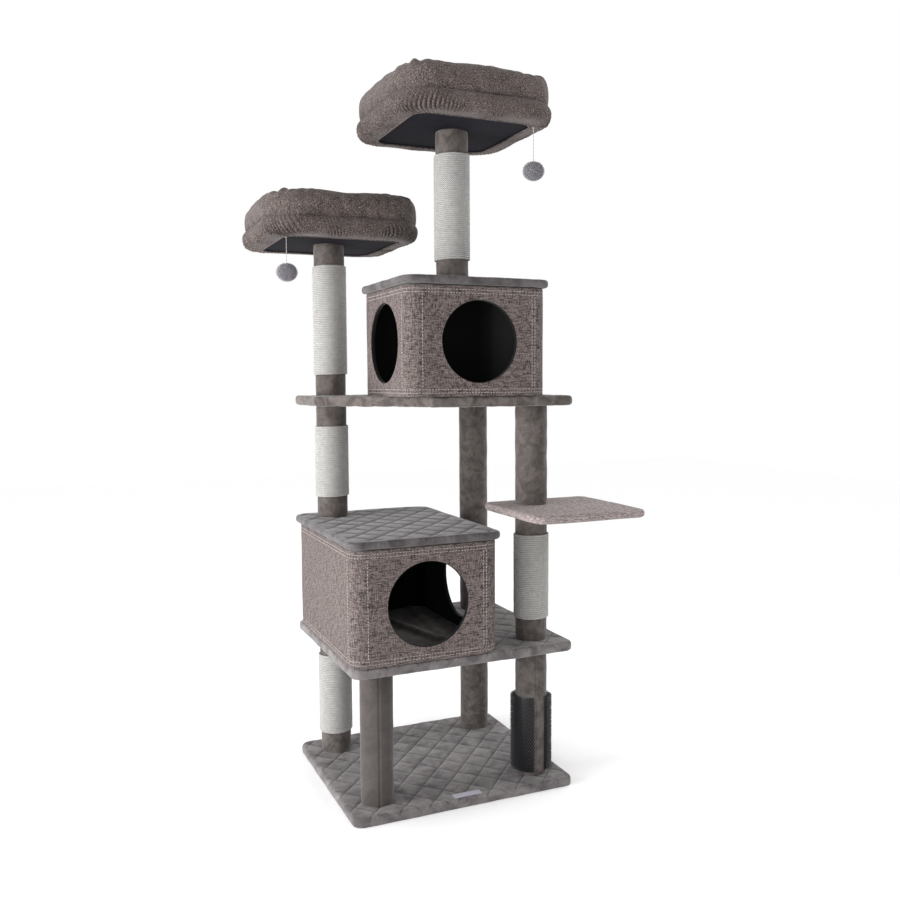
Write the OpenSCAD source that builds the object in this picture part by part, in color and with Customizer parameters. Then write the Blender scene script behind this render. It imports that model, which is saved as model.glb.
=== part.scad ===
// Cat tree: three wrapped shelves and a side step on ten posts, two cloth-walled condos, two padded
// beds and two hanging toys. Millimetres, +Z up, +X to the right and +Y to the back of the tree.
// The origin is the middle of the base board's underside, which stands on the floor.

/* [Base and shelves] */
// Width of the base and of the two big shelves
base_w = 600; // [560:5:720]
// Depth of the base and of the two big shelves
base_d = 525; // [520:5:640]
// Corner radius of the wrapped boards
corner_r = 25; // [10:1:40]
// Thickness of the base board and the big shelf boards
board_t = 18; // [12:1:22]
// Thickness of the lid, step and bed boards
thin_board_t = 12; // [9:1:15]
// Thickness of the cloth wrapped round a board
wrap_t = 4; // [2:0.5:6]
// Upper shelf: length cut off its front edge at the left
cut_w = 205; // [120:5:230]
// Upper shelf: length cut off its left edge at the front
cut_d = 300; // [200:5:330]
// Upper shelf: how far the cut is hollowed in from straight
cut_sag = 25; // [5:1:40]

/* [Step] */
// Side of the square side step
step_size = 312; // [260:1:340]
// Step: from its left edge to the post's axis
step_left = 102; // [60:1:150]
// Step: from its back edge to the post's axis
step_back = 86; // [60:1:120]
// Step: corner radius
step_r = 28; // [15:1:45]

/* [Heights] */
// Clear height from the base to the middle shelf
low_gap = 335; // [280:5:420]
// Clear height from the middle shelf to the upper shelf
mid_gap = 612; // [600:2:760]
// Clear height from the middle shelf to the side step
step_gap = 335; // [250:5:400]
// Clear height from the upper shelf to the left bed
left_bed_gap = 408; // [330:2:500]
// Clear height from the upper condo's lid to the top bed
top_bed_gap = 378; // [300:2:460]

/* [Posts] */
// Outer radius of the paper tube inside each post
tube_r = 37.5; // [34:0.5:40]
// Wall of the paper tube
tube_wall = 4; // [2.5:0.5:6]
// Thickness of the plush cover on a post
sleeve_t = 3.7; // [2:0.1:5]
// From a shelf's edges to the axis of a corner post
post_inset = 84; // [70:1:100]
// Thickness of the plug in each end of a tube
plug_t = 18; // [17:1:30]
// Diameter of the sisal rope wound on a post
rope_d = 4.8; // [3:0.1:8]
// Length of plush left bare at each end of a roped post
rope_bare = 55; // [30:1:80]

/* [Grooming brush] */
// Height of the brush sheet
brush_h = 200; // [120:5:250]
// From the base to the brush sheet
brush_foot = 10; // [5:1:40]
// From the plush to the tips of the bristles
brush_t = 13.5; // [6:0.5:16]
// Angle left open between the brush sheet's two edges
brush_open = 44; // [10:1:60]
// Direction of that opening, from +X towards +Y
brush_facing = -85; // [-180:5:180]

/* [Lower condo] */
// Width of the lower condo's walls
lower_w = 384; // [380:2:420]
// Depth of the lower condo's walls
lower_d = 502; // [480:2:515]
// Height of the lower condo's cloth walls
lower_h = 281; // [260:1:330]
// Diameter of both doorways in the lower condo
lower_door_d = 210; // [150:2:230]
// From the front wall to the middle of the side doorway
lower_side_door = 235; // [180:5:300]
// How far its lid stands past the back wall
lower_lid_back = 18; // [8:1:22]
// Least depth of that lid behind the post on it
lid_behind = 20; // [5:1:35]
// Thickness of the loose floor mat
mat_t = 8; // [4:0.5:15]
// From the lining to the edge of the floor mat
mat_gap = 2; // [1:0.5:6]

/* [Upper condo] */
// Width of the upper condo's walls
upper_w = 376; // [320:2:400]
// Depth of the upper condo's walls
upper_d = 332; // [300:2:340]
// Height of the upper condo's cloth walls
upper_h = 264; // [240:1:320]
// Diameter of both doorways in the upper condo
upper_door_d = 200; // [140:2:220]
// From the shelf's left edge to the upper condo's left wall
upper_x = 143; // [120:1:160]

/* [Condo walls and lids] */
// Outer radius of a condo's upright corners
wall_r = 38; // [25:1:50]
// Thickness of the outer cloth
cloth_t = 2; // [1:0.5:3]
// Thickness of the stiffening panels
panel_t = 5; // [3:0.5:8]
// Thickness of the felt lining
lining_t = 2; // [1:0.5:4]
// Dark gap between the cloth and the lid
lid_gap = 3; // [1:0.5:6]
// How far a lid stands past the walls
lid_over = 8; // [4:1:14]
// Corner radius of a lid
lid_r = 33; // [20:1:45]

/* [Beds] */
// Side of a bed's square board
bed_board = 330; // [280:2:360]
// Corner radius of a bed's board
bed_r = 50; // [44:1:60]
// Height from the board's underside to the top of the roll
bed_h = 120; // [115:1:150]
// Thickness of the padded roll, seen from above
roll_w = 84; // [60:1:88]
// How far the roll stands past the board's edge
roll_out = 40; // [36:1:44]
// How far the gathered skirt stands past the board's edge
skirt_out = 34; // [20:1:35]
// Height of the gathered skirt above the board's underside
skirt_h = 33; // [24:1:45]
// Width of the hem gathered under the board
hem_w = 12; // [8:1:14]
// Thickness of that hem
hem_t = 4; // [2:0.5:6]
// Thickness of the seat pad
pad_t = 25; // [15:1:35]
// Corner radius of the seat pad
pad_r = 5; // [3:1:20]

/* [Toys] */
// Diameter of a pom-pom
ball_d = 50; // [35:1:60]
// Left bed's toy: length of string in sight
left_string_l = 60; // [50:1:100]
// Top bed's toy: length of string in sight
top_string_l = 76; // [50:1:100]
// Diameter of the string
string_d = 1.6; // [1:0.1:3]
// Diameter of the string's knot
knot_d = 6; // [4:0.5:8]
// Left bed's toy: from the post's axis to the left
left_toy_x = 146; // [120:1:148]
// Left bed's toy: from the post's axis to the front
left_toy_y = 121; // [90:1:128]
// Top bed's toy: from the post's axis to the right
top_toy_x = 158; // [150:1:160]
// Top bed's toy: from the post's axis to the front
top_toy_y = 143; // [138:1:148]

/* [Fasteners] */
// Radius of the threaded bolts and studs
bolt_r = 4; // [3:0.5:5]
// Radius of a bolt's head
head_r = 8; // [7:0.5:10]
// Height of a bolt's head
head_h = 5; // [4:0.5:7]
// Length of thread inside a plug
bolt_grip = 16; // [10:1:17]

/* [Maker's tag] */
// Length of the blank woven tag on the base
tag_l = 75; // [40:1:80]
// Width of the tag
tag_w = 22; // [15:1:30]
// Thickness of the tag
tag_t = 1; // [0.5:0.1:2]
// From the base's front edge to the tag
tag_edge = 10; // [5:1:30]

/* [Hidden] */
$fn = 96;

// Clearances: between pieces of one body, and between the swinging pieces of a toy.
fit = 0.2;
swing_gap = 0.3;
// How far a doorway's cut runs past a wall, and how far a bolt's shank runs into its head.
door_overrun = 10;
head_sink = 0.5;

// Levels of the big pieces, from the floor up.
shelf_t = board_t + 2 * wrap_t;
thin_t = thin_board_t + 2 * wrap_t;
base_top = board_t + wrap_t;
middle_z = base_top + low_gap;
middle_top = middle_z + shelf_t;
upper_z = middle_top + mid_gap;
upper_top = upper_z + shelf_t;
step_z = middle_top + step_gap;
step_top = step_z + thin_t;
lower_lid_z = middle_top + lower_h + lid_gap;
lower_lid_top = lower_lid_z + thin_t;
upper_lid_z = upper_top + upper_h + lid_gap;
upper_lid_top = upper_lid_z + thin_t;
left_bed_z = upper_top + left_bed_gap;
top_bed_z = upper_lid_top + top_bed_gap;

// Plan positions.
left_x = post_inset - base_w / 2;
right_x = -left_x;
front_y = post_inset - base_d / 2;
back_y = -front_y;
upper_condo_x = upper_x - base_w / 2;
top_post = [upper_condo_x + upper_w / 2, (upper_d - base_d) / 2];
sleeve_r = tube_r + sleeve_t;

// Each post: x, y, and the levels of its foot and its head.
FRONT_LEFT = [left_x, front_y, base_top, middle_z];
BACK_LEFT = [left_x, back_y, base_top, middle_z];
FRONT_RIGHT = [right_x, front_y, base_top, middle_z];
BACK_RIGHT = [right_x, back_y, base_top, middle_z];
CONDO_POST = [left_x, back_y, lower_lid_top, upper_z];
STEP_LOWER = [right_x, front_y, middle_top, step_z];
STEP_UPPER = [right_x, front_y, step_top, upper_z];
TALL_BACK = [right_x, back_y, middle_top, upper_z];
LEFT_BED_POST = [left_x, back_y, upper_top, left_bed_z];
TOP_BED_POST = [top_post[0], top_post[1], upper_lid_top, top_bed_z];
POSTS = [FRONT_LEFT, BACK_LEFT, FRONT_RIGHT, BACK_RIGHT, CONDO_POST, STEP_LOWER, STEP_UPPER,
         TALL_BACK, LEFT_BED_POST, TOP_BED_POST];

// Each bolt: x, y, the board face its head is flush with, the board's thickness, and 1 with its
// head on top or -1 with its head below.
BOLTS = [for (p = [FRONT_LEFT, BACK_LEFT, FRONT_RIGHT, BACK_RIGHT]) [p[0], p[1], 0, base_top, -1],
         [left_x, front_y, middle_top, shelf_t, 1],
         [left_x, back_y, middle_top, shelf_t, 1],
         [left_x, back_y, lower_lid_z, thin_t, -1],
         [right_x, front_y, upper_top, shelf_t, 1],
         [right_x, back_y, upper_top, shelf_t, 1],
         [top_post[0], top_post[1], upper_lid_z, thin_t, -1],
         [left_x, back_y, left_bed_z + thin_board_t, thin_board_t, 1],
         [top_post[0], top_post[1], top_bed_z + thin_board_t, thin_board_t, 1]];

// Each stud joins two posts through a board: x, y, the board's underside and its thickness.
STUDS = [[right_x, front_y, middle_z, shelf_t],
         [right_x, back_y, middle_z, shelf_t],
         [right_x, front_y, step_z, thin_t],
         [left_x, back_y, upper_z, shelf_t]];

// Lower condo and upper condo: the front-left corner of the walls, their size and their doorways.
LOWER = [-base_w / 2, -base_d / 2, middle_top, lower_w, lower_d, lower_h, lower_door_d];
UPPER = [upper_condo_x, -base_d / 2, upper_top, upper_w, upper_d, upper_h, upper_door_d];
lower_door_side = [LOWER[0] + lower_w, LOWER[1] + lower_side_door];
upper_door_side = [UPPER[0], UPPER[1] + upper_d / 2];
wall_t = cloth_t + panel_t + lining_t;

// The side step's front-left corner.
step_x = right_x - step_left;
step_y = front_y + step_back - step_size;

// Lids: past the walls by lid_over. The lower one runs past its back wall by its own value, and
// always behind the post that stands on it.
lower_lid_end = max(LOWER[1] + lower_d + lower_lid_back, back_y + sleeve_r + lid_behind);
lower_lid = [LOWER[0] - lid_over, LOWER[1] - lid_over, lower_w + 2 * lid_over,
             lower_lid_end - LOWER[1] + lid_over];
upper_lid = [UPPER[0] - lid_over, UPPER[1] - lid_over, upper_w + 2 * lid_over,
             upper_d + 2 * lid_over];

// A bed's board: half its side, and from its middle to the centre of a corner.
bed_half = bed_board / 2;
bed_core = bed_half - bed_r;

// The left toy's knot hangs just under its bed's board, and the top one's under its bed's hem.
left_knot = [left_x - left_toy_x, back_y - left_toy_y, left_bed_z - swing_gap - knot_d / 2];
top_knot = [top_post[0] + top_toy_x, top_post[1] - top_toy_y,
            top_bed_z - hem_t - swing_gap - knot_d / 2];
// Route of a toy's string below its knot: it hangs straight, and ends inside the pom-pom.
string_sink = 10;
string_rings = 16;

// A flat slab with round corners; its front-left corner is at the origin.
module rounded_slab(w, d, t, r) {
    translate([r, 0, 0]) cube([w - 2 * r, d, t]);
    translate([0, r, 0]) cube([w, d - 2 * r, t]);
    for (x = [r, w - r], y = [r, d - r]) translate([x, y, 0]) cylinder(r = r, h = t);
}

// An upright wall with round corners, hollow from inset a to inset b of the outline w by d.
module ring_wall(w, d, h, r, a, b) {
    difference() {
        translate([a, a, 0]) rounded_slab(w - 2 * a, d - 2 * a, h, r - a);
        translate([b, b, -1]) rounded_slab(w - 2 * b, d - 2 * b, h + 2, r - b);
    }
}

// Holes for every bolt and stud, with the sinkings for the bolts' heads.
module fastener_holes() {
    for (b = BOLTS) {
        low = b[4] > 0 ? b[2] - b[3] : b[2];
        translate([b[0], b[1], low - 1]) cylinder(r = bolt_r + fit, h = b[3] + 2);
        sink = head_h + fit;
        translate([b[0], b[1], b[4] > 0 ? b[2] - sink : b[2] - 1])
            cylinder(r = head_r + fit, h = sink + 1);
    }
    for (s = STUDS) translate([s[0], s[1], s[2] - 1]) cylinder(r = bolt_r + fit, h = s[3] + 2);
}

// A shelf-sized slab centred on the tree, shrunk by inset.
module shelf_slab(z, t, inset) {
    translate([inset - base_w / 2, inset - base_d / 2, z])
        rounded_slab(base_w - 2 * inset, base_d - 2 * inset, t, corner_r - inset);
}

// The hollow cut at the upper shelf's front-left corner, a circle through both ends of the cut.
module corner_cut(inset) {
    chord = norm([cut_w, cut_d]);
    cut_r = (chord * chord / 4 + cut_sag * cut_sag) / (2 * cut_sag);
    across = [cut_d, cut_w] / chord;
    middle = [cut_w / 2 - base_w / 2, cut_d / 2 - base_d / 2];
    centre = middle - across * (cut_r - cut_sag);
    translate([centre[0], centre[1], upper_z - 1]) cylinder(r = cut_r + inset, h = shelf_t + 2, $fn = 360);
}

// A slab with a cover wrapped all round it: the board, and the cover's shell.
module shelf_board(z) {
    difference() {
        shelf_slab(z + wrap_t, board_t, wrap_t);
        fastener_holes();
    }
}

module shelf_wrap(z) {
    difference() {
        shelf_slab(z, shelf_t, 0);
        shelf_slab(z + wrap_t, board_t, wrap_t);
        fastener_holes();
    }
}

module base_board() {
    color("burlywood") difference() {
        shelf_slab(0, board_t, wrap_t);
        fastener_holes();
    }
}

module base_cover() {
    color("dimgray") difference() {
        shelf_slab(0, base_top, 0);
        shelf_slab(-1, board_t + 1, wrap_t);
        fastener_holes();
    }
}

module middle_shelf_board() {
    color("burlywood") shelf_board(middle_z);
}

module middle_shelf_cover() {
    color("dimgray") shelf_wrap(middle_z);
}

module upper_shelf_board() {
    color("burlywood") difference() {
        shelf_board(upper_z);
        corner_cut(wrap_t);
    }
}

module upper_shelf_cover() {
    color("dimgray") difference() {
        shelf_slab(upper_z, shelf_t, 0);
        corner_cut(0);
        difference() {
            shelf_slab(upper_z + wrap_t, board_t, wrap_t);
            corner_cut(wrap_t);
        }
        fastener_holes();
    }
}

// A thin slab at a corner point, shrunk by inset all round.
module thin_slab(x, y, z, w, d, t, r, inset) {
    translate([x + inset, y + inset, z])
        rounded_slab(w - 2 * inset, d - 2 * inset, t, r - inset);
}

module thin_board(x, y, z, w, d, r) {
    difference() {
        thin_slab(x, y, z + wrap_t, w, d, thin_board_t, r, wrap_t);
        fastener_holes();
    }
}

module thin_wrap(x, y, z, w, d, r) {
    difference() {
        thin_slab(x, y, z, w, d, thin_t, r, 0);
        thin_slab(x, y, z + wrap_t, w, d, thin_board_t, r, wrap_t);
        fastener_holes();
    }
}

module step_board() {
    color("burlywood") thin_board(step_x, step_y, step_z, step_size, step_size, step_r);
}

module step_cover() {
    color("rosybrown") thin_wrap(step_x, step_y, step_z, step_size, step_size, step_r);
}

module lower_condo_lid_board() {
    color("burlywood") thin_board(lower_lid[0], lower_lid[1], lower_lid_z, lower_lid[2], lower_lid[3], lid_r);
}

module lower_condo_lid_cover() {
    color("dimgray") thin_wrap(lower_lid[0], lower_lid[1], lower_lid_z, lower_lid[2], lower_lid[3], lid_r);
}

module upper_condo_lid_board() {
    color("burlywood") thin_board(upper_lid[0], upper_lid[1], upper_lid_z, upper_lid[2], upper_lid[3], lid_r);
}

module upper_condo_lid_cover() {
    color("dimgray") thin_wrap(upper_lid[0], upper_lid[1], upper_lid_z, upper_lid[2], upper_lid[3], lid_r);
}

// The two doorways of a condo, as the cylinders that cut its front wall and one side wall.
module doorways(c, side) {
    reach = wall_t + door_overrun;
    mid_z = c[2] + c[5] / 2;
    translate([c[0] + c[3] / 2, c[1] - 1, mid_z]) rotate([-90, 0, 0])
        cylinder(d = c[6], h = reach);
    translate([side[0] - reach, side[1], mid_z]) rotate([0, 90, 0])
        cylinder(d = c[6], h = 2 * reach);
}

// Outer cloth, felt lining and corner foam of a condo.
module condo_cloth(c, side) {
    difference() {
        translate([c[0], c[1], c[2]]) ring_wall(c[3], c[4], c[5], wall_r, 0, cloth_t);
        doorways(c, side);
    }
}

module condo_lining(c, side) {
    difference() {
        translate([c[0], c[1], c[2]])
            ring_wall(c[3], c[4], c[5] + lid_gap, wall_r, cloth_t + panel_t, wall_t);
        doorways(c, side);
    }
}

module condo_corner_foam(c) {
    for (x = [0, 1], y = [0, 1])
        translate([c[0] + wall_r + x * (c[3] - 2 * wall_r), c[1] + wall_r + y * (c[4] - 2 * wall_r), c[2]])
            rotate([0, 0, x == 1 ? (y == 1 ? 0 : 270) : (y == 1 ? 90 : 180)])
                rotate_extrude(angle = 90)
                    translate([wall_r - cloth_t - panel_t, 0]) square([panel_t, c[5] + lid_gap]);
}

// A stiffening panel: along the front or back wall, and along a side wall.
module long_panel(c, y) {
    translate([c[0] + wall_r, y, c[2]]) cube([c[3] - 2 * wall_r, panel_t, c[5] + lid_gap]);
}

module side_panel(c, x) {
    translate([x, c[1] + wall_r, c[2]]) cube([panel_t, c[4] - 2 * wall_r, c[5] + lid_gap]);
}

module lower_condo_front_panel() {
    color("tan") difference() {
        long_panel(LOWER, LOWER[1] + cloth_t);
        doorways(LOWER, lower_door_side);
    }
}

module lower_condo_back_panel() {
    color("tan") long_panel(LOWER, LOWER[1] + lower_d - cloth_t - panel_t);
}

module lower_condo_left_panel() {
    color("tan") side_panel(LOWER, LOWER[0] + cloth_t);
}

module lower_condo_right_panel() {
    color("tan") difference() {
        side_panel(LOWER, LOWER[0] + lower_w - cloth_t - panel_t);
        doorways(LOWER, lower_door_side);
    }
}

module lower_condo_corner_foam() {
    color("gray") condo_corner_foam(LOWER);
}

module lower_condo_cloth() {
    color("rosybrown") condo_cloth(LOWER, lower_door_side);
}

module lower_condo_lining() {
    color("black") condo_lining(LOWER, lower_door_side);
}

module lower_condo_mat() {
    inset = wall_t + mat_gap;
    color("dimgray") translate([LOWER[0] + inset, LOWER[1] + inset, middle_top])
        rounded_slab(lower_w - 2 * inset, lower_d - 2 * inset, mat_t, wall_r - inset);
}

module upper_condo_front_panel() {
    color("tan") difference() {
        long_panel(UPPER, UPPER[1] + cloth_t);
        doorways(UPPER, upper_door_side);
    }
}

module upper_condo_back_panel() {
    color("tan") long_panel(UPPER, UPPER[1] + upper_d - cloth_t - panel_t);
}

module upper_condo_left_panel() {
    color("tan") difference() {
        side_panel(UPPER, UPPER[0] + cloth_t);
        doorways(UPPER, upper_door_side);
    }
}

module upper_condo_right_panel() {
    color("tan") side_panel(UPPER, UPPER[0] + upper_w - cloth_t - panel_t);
}

module upper_condo_corner_foam() {
    color("gray") condo_corner_foam(UPPER);
}

module upper_condo_cloth() {
    color("rosybrown") condo_cloth(UPPER, upper_door_side);
}

module upper_condo_lining() {
    color("black") condo_lining(UPPER, upper_door_side);
}

// Beds: everything is placed from the post's axis p and the board's underside p[3].
module bed_board(p) {
    difference() {
        translate([p[0] - bed_half, p[1] - bed_half, p[3]])
            rounded_slab(bed_board, bed_board, thin_board_t, bed_r);
        fastener_holes();
    }
}

// Section of the roll, its gathered skirt and the hem under the board. x runs outwards from the
// centre of a corner, and y upwards from the board's underside.
module roll_section() {
    outer = bed_r + roll_out;
    r = roll_w / 2;
    translate([outer - r, thin_board_t + fit + r]) circle(r = r);
    translate([outer - r, bed_h - r]) circle(r = r);
    translate([outer - roll_w, thin_board_t + fit + r])
        square([roll_w, bed_h - thin_board_t - fit - roll_w]);
    translate([bed_r + fit, -hem_t]) square([skirt_out - skirt_h / 4, skirt_h]);
    translate([bed_r + skirt_out - skirt_h / 2, skirt_h / 2 - hem_t]) circle(r = skirt_h / 2);
    translate([bed_r - hem_w, -hem_t]) square([hem_w + 1, hem_t - fit]);
}

module bed_roll(p) {
    translate([p[0], p[1], p[3]]) for (a = [0:90:270]) rotate([0, 0, a]) {
        translate([bed_core, bed_core, 0]) rotate_extrude(angle = 90) roll_section();
        translate([bed_core, bed_core, 0]) rotate([90, 0, 0])
            linear_extrude(2 * bed_core) roll_section();
    }
}

module bed_pad(p) {
    half = bed_half + roll_out - roll_w - fit;
    translate([p[0] - half, p[1] - half, p[3] + thin_board_t + fit])
        rounded_slab(2 * half, 2 * half, pad_t, pad_r);
}

module left_bed_board() {
    color("black") bed_board(LEFT_BED_POST);
}

module left_bed_roll() {
    color("rosybrown") bed_roll(LEFT_BED_POST);
}

module left_bed_pad() {
    color("rosybrown") bed_pad(LEFT_BED_POST);
}

module top_bed_board() {
    color("black") bed_board(TOP_BED_POST);
}

module top_bed_roll() {
    color("rosybrown") bed_roll(TOP_BED_POST);
}

module top_bed_pad() {
    color("rosybrown") bed_pad(TOP_BED_POST);
}

// A round wall from radius a to radius b about a post's axis, between two levels.
module post_wall(p, a, b, z0, z1) {
    translate([p[0], p[1], z0]) difference() {
        cylinder(r = b, h = z1 - z0);
        translate([0, 0, -1]) cylinder(r = a, h = z1 - z0 + 2);
    }
}

module post_cover(p) {
    color("dimgray") post_wall(p, tube_r + fit, sleeve_r, p[2], p[3]);
}

module rope_wrap(p) {
    color("lightgray")
        post_wall(p, sleeve_r + fit, sleeve_r + fit + rope_d, p[2] + rope_bare, p[3] - rope_bare);
}

module front_left_post_cover() {
    post_cover(FRONT_LEFT);
}

module back_left_post_cover() {
    post_cover(BACK_LEFT);
}

module front_right_post_cover() {
    post_cover(FRONT_RIGHT);
}

module back_right_post_cover() {
    post_cover(BACK_RIGHT);
}

module condo_post_cover() {
    post_cover(CONDO_POST);
}

module step_lower_post_cover() {
    post_cover(STEP_LOWER);
}

module step_upper_post_cover() {
    post_cover(STEP_UPPER);
}

module tall_back_post_cover() {
    post_cover(TALL_BACK);
}

module left_bed_post_cover() {
    post_cover(LEFT_BED_POST);
}

module top_bed_post_cover() {
    post_cover(TOP_BED_POST);
}

module back_left_rope() {
    rope_wrap(BACK_LEFT);
}

module condo_post_rope() {
    rope_wrap(CONDO_POST);
}

module step_post_rope() {
    rope_wrap(STEP_LOWER);
}

module left_bed_rope() {
    rope_wrap(LEFT_BED_POST);
}

module top_bed_rope() {
    rope_wrap(TOP_BED_POST);
}

module post_tubes() {
    color("peru") for (p = POSTS) post_wall(p, tube_r - tube_wall, tube_r, p[2], p[3]);
}

module post_plugs() {
    color("whitesmoke") for (p = POSTS) {
        post_wall(p, bolt_r + fit, tube_r - tube_wall - fit, p[2], p[2] + plug_t);
        post_wall(p, bolt_r + fit, tube_r - tube_wall - fit, p[3] - plug_t, p[3]);
    }
}

// A bolt with its head's outer face at the origin and its shank along -Z.
module bolt(board) {
    translate([0, 0, -head_h]) cylinder(r = head_r, h = head_h);
    translate([0, 0, -board - bolt_grip])
        cylinder(r = bolt_r, h = board + bolt_grip - head_h + head_sink);
}

module post_bolts() {
    color("silver") for (b = BOLTS)
        translate([b[0], b[1], b[2]]) rotate([b[4] > 0 ? 0 : 180, 0, 0]) bolt(b[3]);
}

module post_studs() {
    color("silver") for (s = STUDS)
        translate([s[0], s[1], s[2] - bolt_grip]) cylinder(r = bolt_r, h = s[3] + 2 * bolt_grip);
}

// The brush sheet is bent round the post, with its two edges a little apart.
module grooming_brush() {
    color("black")
        translate([right_x, front_y, base_top + brush_foot])
            rotate([0, 0, brush_facing + brush_open / 2])
                rotate_extrude(angle = 360 - brush_open)
                    translate([sleeve_r + fit, 0]) square([brush_t, brush_h]);
}

module knot(k) {
    color("white") translate(k) sphere(d = knot_d);
}

// A string swept along its route as one closed tube of eight sides.
function string_point(k, length, i) = [k[0], k[1], k[2] - knot_d / 2 - swing_gap
                                       - i * (length + string_sink) / (string_rings - 1)];

module toy_string(k, length) {
    sides = 8;
    points = [for (i = [0:string_rings - 1], s = [0:sides - 1])
              string_point(k, length, i) + string_d / 2 * [cos(s * 360 / sides), sin(s * 360 / sides), 0]];
    faces = [for (i = [0:string_rings - 2], s = [0:sides - 1])
             [i * sides + s, (i + 1) * sides + s,
              (i + 1) * sides + (s + 1) % sides, i * sides + (s + 1) % sides]];
    top = [for (s = [0:sides - 1]) s];
    bottom = [for (s = [sides - 1:-1:0]) (string_rings - 1) * sides + s];
    color("white") polyhedron(points, concat(faces, [top, bottom]));
}

module toy_ball(k, length) {
    top_z = k[2] - knot_d / 2 - swing_gap - length;
    color("darkgray") translate([k[0], k[1], top_z - ball_d / 2]) difference() {
        sphere(d = ball_d);
        translate([0, 0, ball_d / 2 - string_sink]) cylinder(r = string_d / 2 + fit, h = string_sink + 1);
    }
}

module left_toy_knot() {
    knot(left_knot);
}

module left_toy_string() {
    toy_string(left_knot, left_string_l);
}

module left_toy_ball() {
    toy_ball(left_knot, left_string_l);
}

module top_toy_knot() {
    knot(top_knot);
}

module top_toy_string() {
    toy_string(top_knot, top_string_l);
}

module top_toy_ball() {
    toy_ball(top_knot, top_string_l);
}

module woven_tag() {
    color("lavender") translate([-tag_l / 2, tag_edge - base_d / 2, base_top])
        cube([tag_l, tag_w, tag_t]);
}

base_board();
base_cover();
middle_shelf_board();
middle_shelf_cover();
upper_shelf_board();
upper_shelf_cover();
step_board();
step_cover();
lower_condo_front_panel();
lower_condo_back_panel();
lower_condo_left_panel();
lower_condo_right_panel();
lower_condo_corner_foam();
lower_condo_cloth();
lower_condo_lining();
lower_condo_mat();
lower_condo_lid_board();
lower_condo_lid_cover();
upper_condo_front_panel();
upper_condo_back_panel();
upper_condo_left_panel();
upper_condo_right_panel();
upper_condo_corner_foam();
upper_condo_cloth();
upper_condo_lining();
upper_condo_lid_board();
upper_condo_lid_cover();
left_bed_board();
left_bed_roll();
left_bed_pad();
top_bed_board();
top_bed_roll();
top_bed_pad();
front_left_post_cover();
back_left_post_cover();
front_right_post_cover();
back_right_post_cover();
condo_post_cover();
step_lower_post_cover();
step_upper_post_cover();
tall_back_post_cover();
left_bed_post_cover();
top_bed_post_cover();
back_left_rope();
condo_post_rope();
step_post_rope();
left_bed_rope();
top_bed_rope();
post_tubes();
post_plugs();
post_bolts();
post_studs();
grooming_brush();
left_toy_knot();
left_toy_string();
left_toy_ball();
top_toy_knot();
top_toy_string();
top_toy_ball();
woven_tag();
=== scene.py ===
import math

import bpy
import numpy as np
from mathutils import Euler, Matrix, Vector


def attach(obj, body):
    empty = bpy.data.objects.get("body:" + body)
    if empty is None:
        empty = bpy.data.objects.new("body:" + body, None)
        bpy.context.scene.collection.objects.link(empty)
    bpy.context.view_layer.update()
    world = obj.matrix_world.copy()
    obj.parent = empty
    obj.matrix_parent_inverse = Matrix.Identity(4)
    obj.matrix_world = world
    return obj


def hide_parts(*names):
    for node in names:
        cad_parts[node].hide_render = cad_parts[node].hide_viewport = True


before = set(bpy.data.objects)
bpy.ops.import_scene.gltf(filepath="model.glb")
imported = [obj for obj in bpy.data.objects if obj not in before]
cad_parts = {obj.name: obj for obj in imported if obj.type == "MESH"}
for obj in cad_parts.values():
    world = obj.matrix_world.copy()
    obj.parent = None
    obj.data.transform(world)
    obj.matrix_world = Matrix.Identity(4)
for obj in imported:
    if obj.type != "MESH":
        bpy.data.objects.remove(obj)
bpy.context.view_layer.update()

# ---------------------------------------------------------------------------------------------
# Camera. It stands in front of the tree and a little to its left, at about the height of the
# middle of the tree, looking slightly down.
# ---------------------------------------------------------------------------------------------
bpy.ops.object.select_all(action="DESELECT")
camera_turn = Euler((math.pi / 2 - 0.075, 0, -0.41)).to_matrix() @ Matrix.Rotation(-0.006, 3, "Z")
bpy.ops.object.camera_add(location=(-0.92084, -2.26507, 1.0573), rotation=camera_turn.to_euler())
camera = bpy.context.object
camera.name = "camera"
camera.data.sensor_width = 36
camera.data.lens = 36.48
bpy.context.scene.camera = camera

# ---------------------------------------------------------------------------------------------
# Toy strings. Each is a pale twisted cotton string 1.6 mm thick, with 60 mm of the left one and
# 76 mm of the top one in sight and the last 10 mm sewn into the pom-pom. They hang straight down.
# ---------------------------------------------------------------------------------------------
STRING_SEEN = {"left_toy": 0.06, "top_toy": 0.076}
STRING_SUNK = 0.01
STRING_D = 0.0016
TOY_KNOTS = {"left_toy": (-0.362, 0.0575, 1.4257), "top_toy": (0.189, -0.2395, 1.6787)}
STRING_DROP = 0.0033  # from the middle of a knot to where its string leaves it


def linear(code):
    """The linear colour, with an alpha of 1, of an sRGB hex code."""
    parts = [int(code[i : i + 2], 16) / 255 for i in (1, 3, 5)]
    return [c / 12.92 if c <= 0.04045 else ((c + 0.055) / 1.055) ** 2.4 for c in parts] + [1.0]


def add(tree, kind, inputs=None, **settings):
    """Adds a shader node with its settings, and links or sets each of its inputs."""
    node = tree.nodes.new("ShaderNode" + kind)
    for key, value in settings.items():
        setattr(node, key, value)
    for key, value in (inputs or {}).items():
        if isinstance(value, bpy.types.NodeSocket):
            tree.links.new(value, node.inputs[key])
        else:
            node.inputs[key].default_value = value
    return node


def new_finish(name, **sockets):
    """A new material: its node tree and its shader, with the given sockets set on the shader."""
    material = bpy.data.materials.new(name)
    material.use_nodes = True
    shader = material.node_tree.nodes["Principled BSDF"]
    for key, value in sockets.items():
        shader.inputs[key.replace("_", " ")].default_value = value
    return material, material.node_tree, shader


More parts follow.
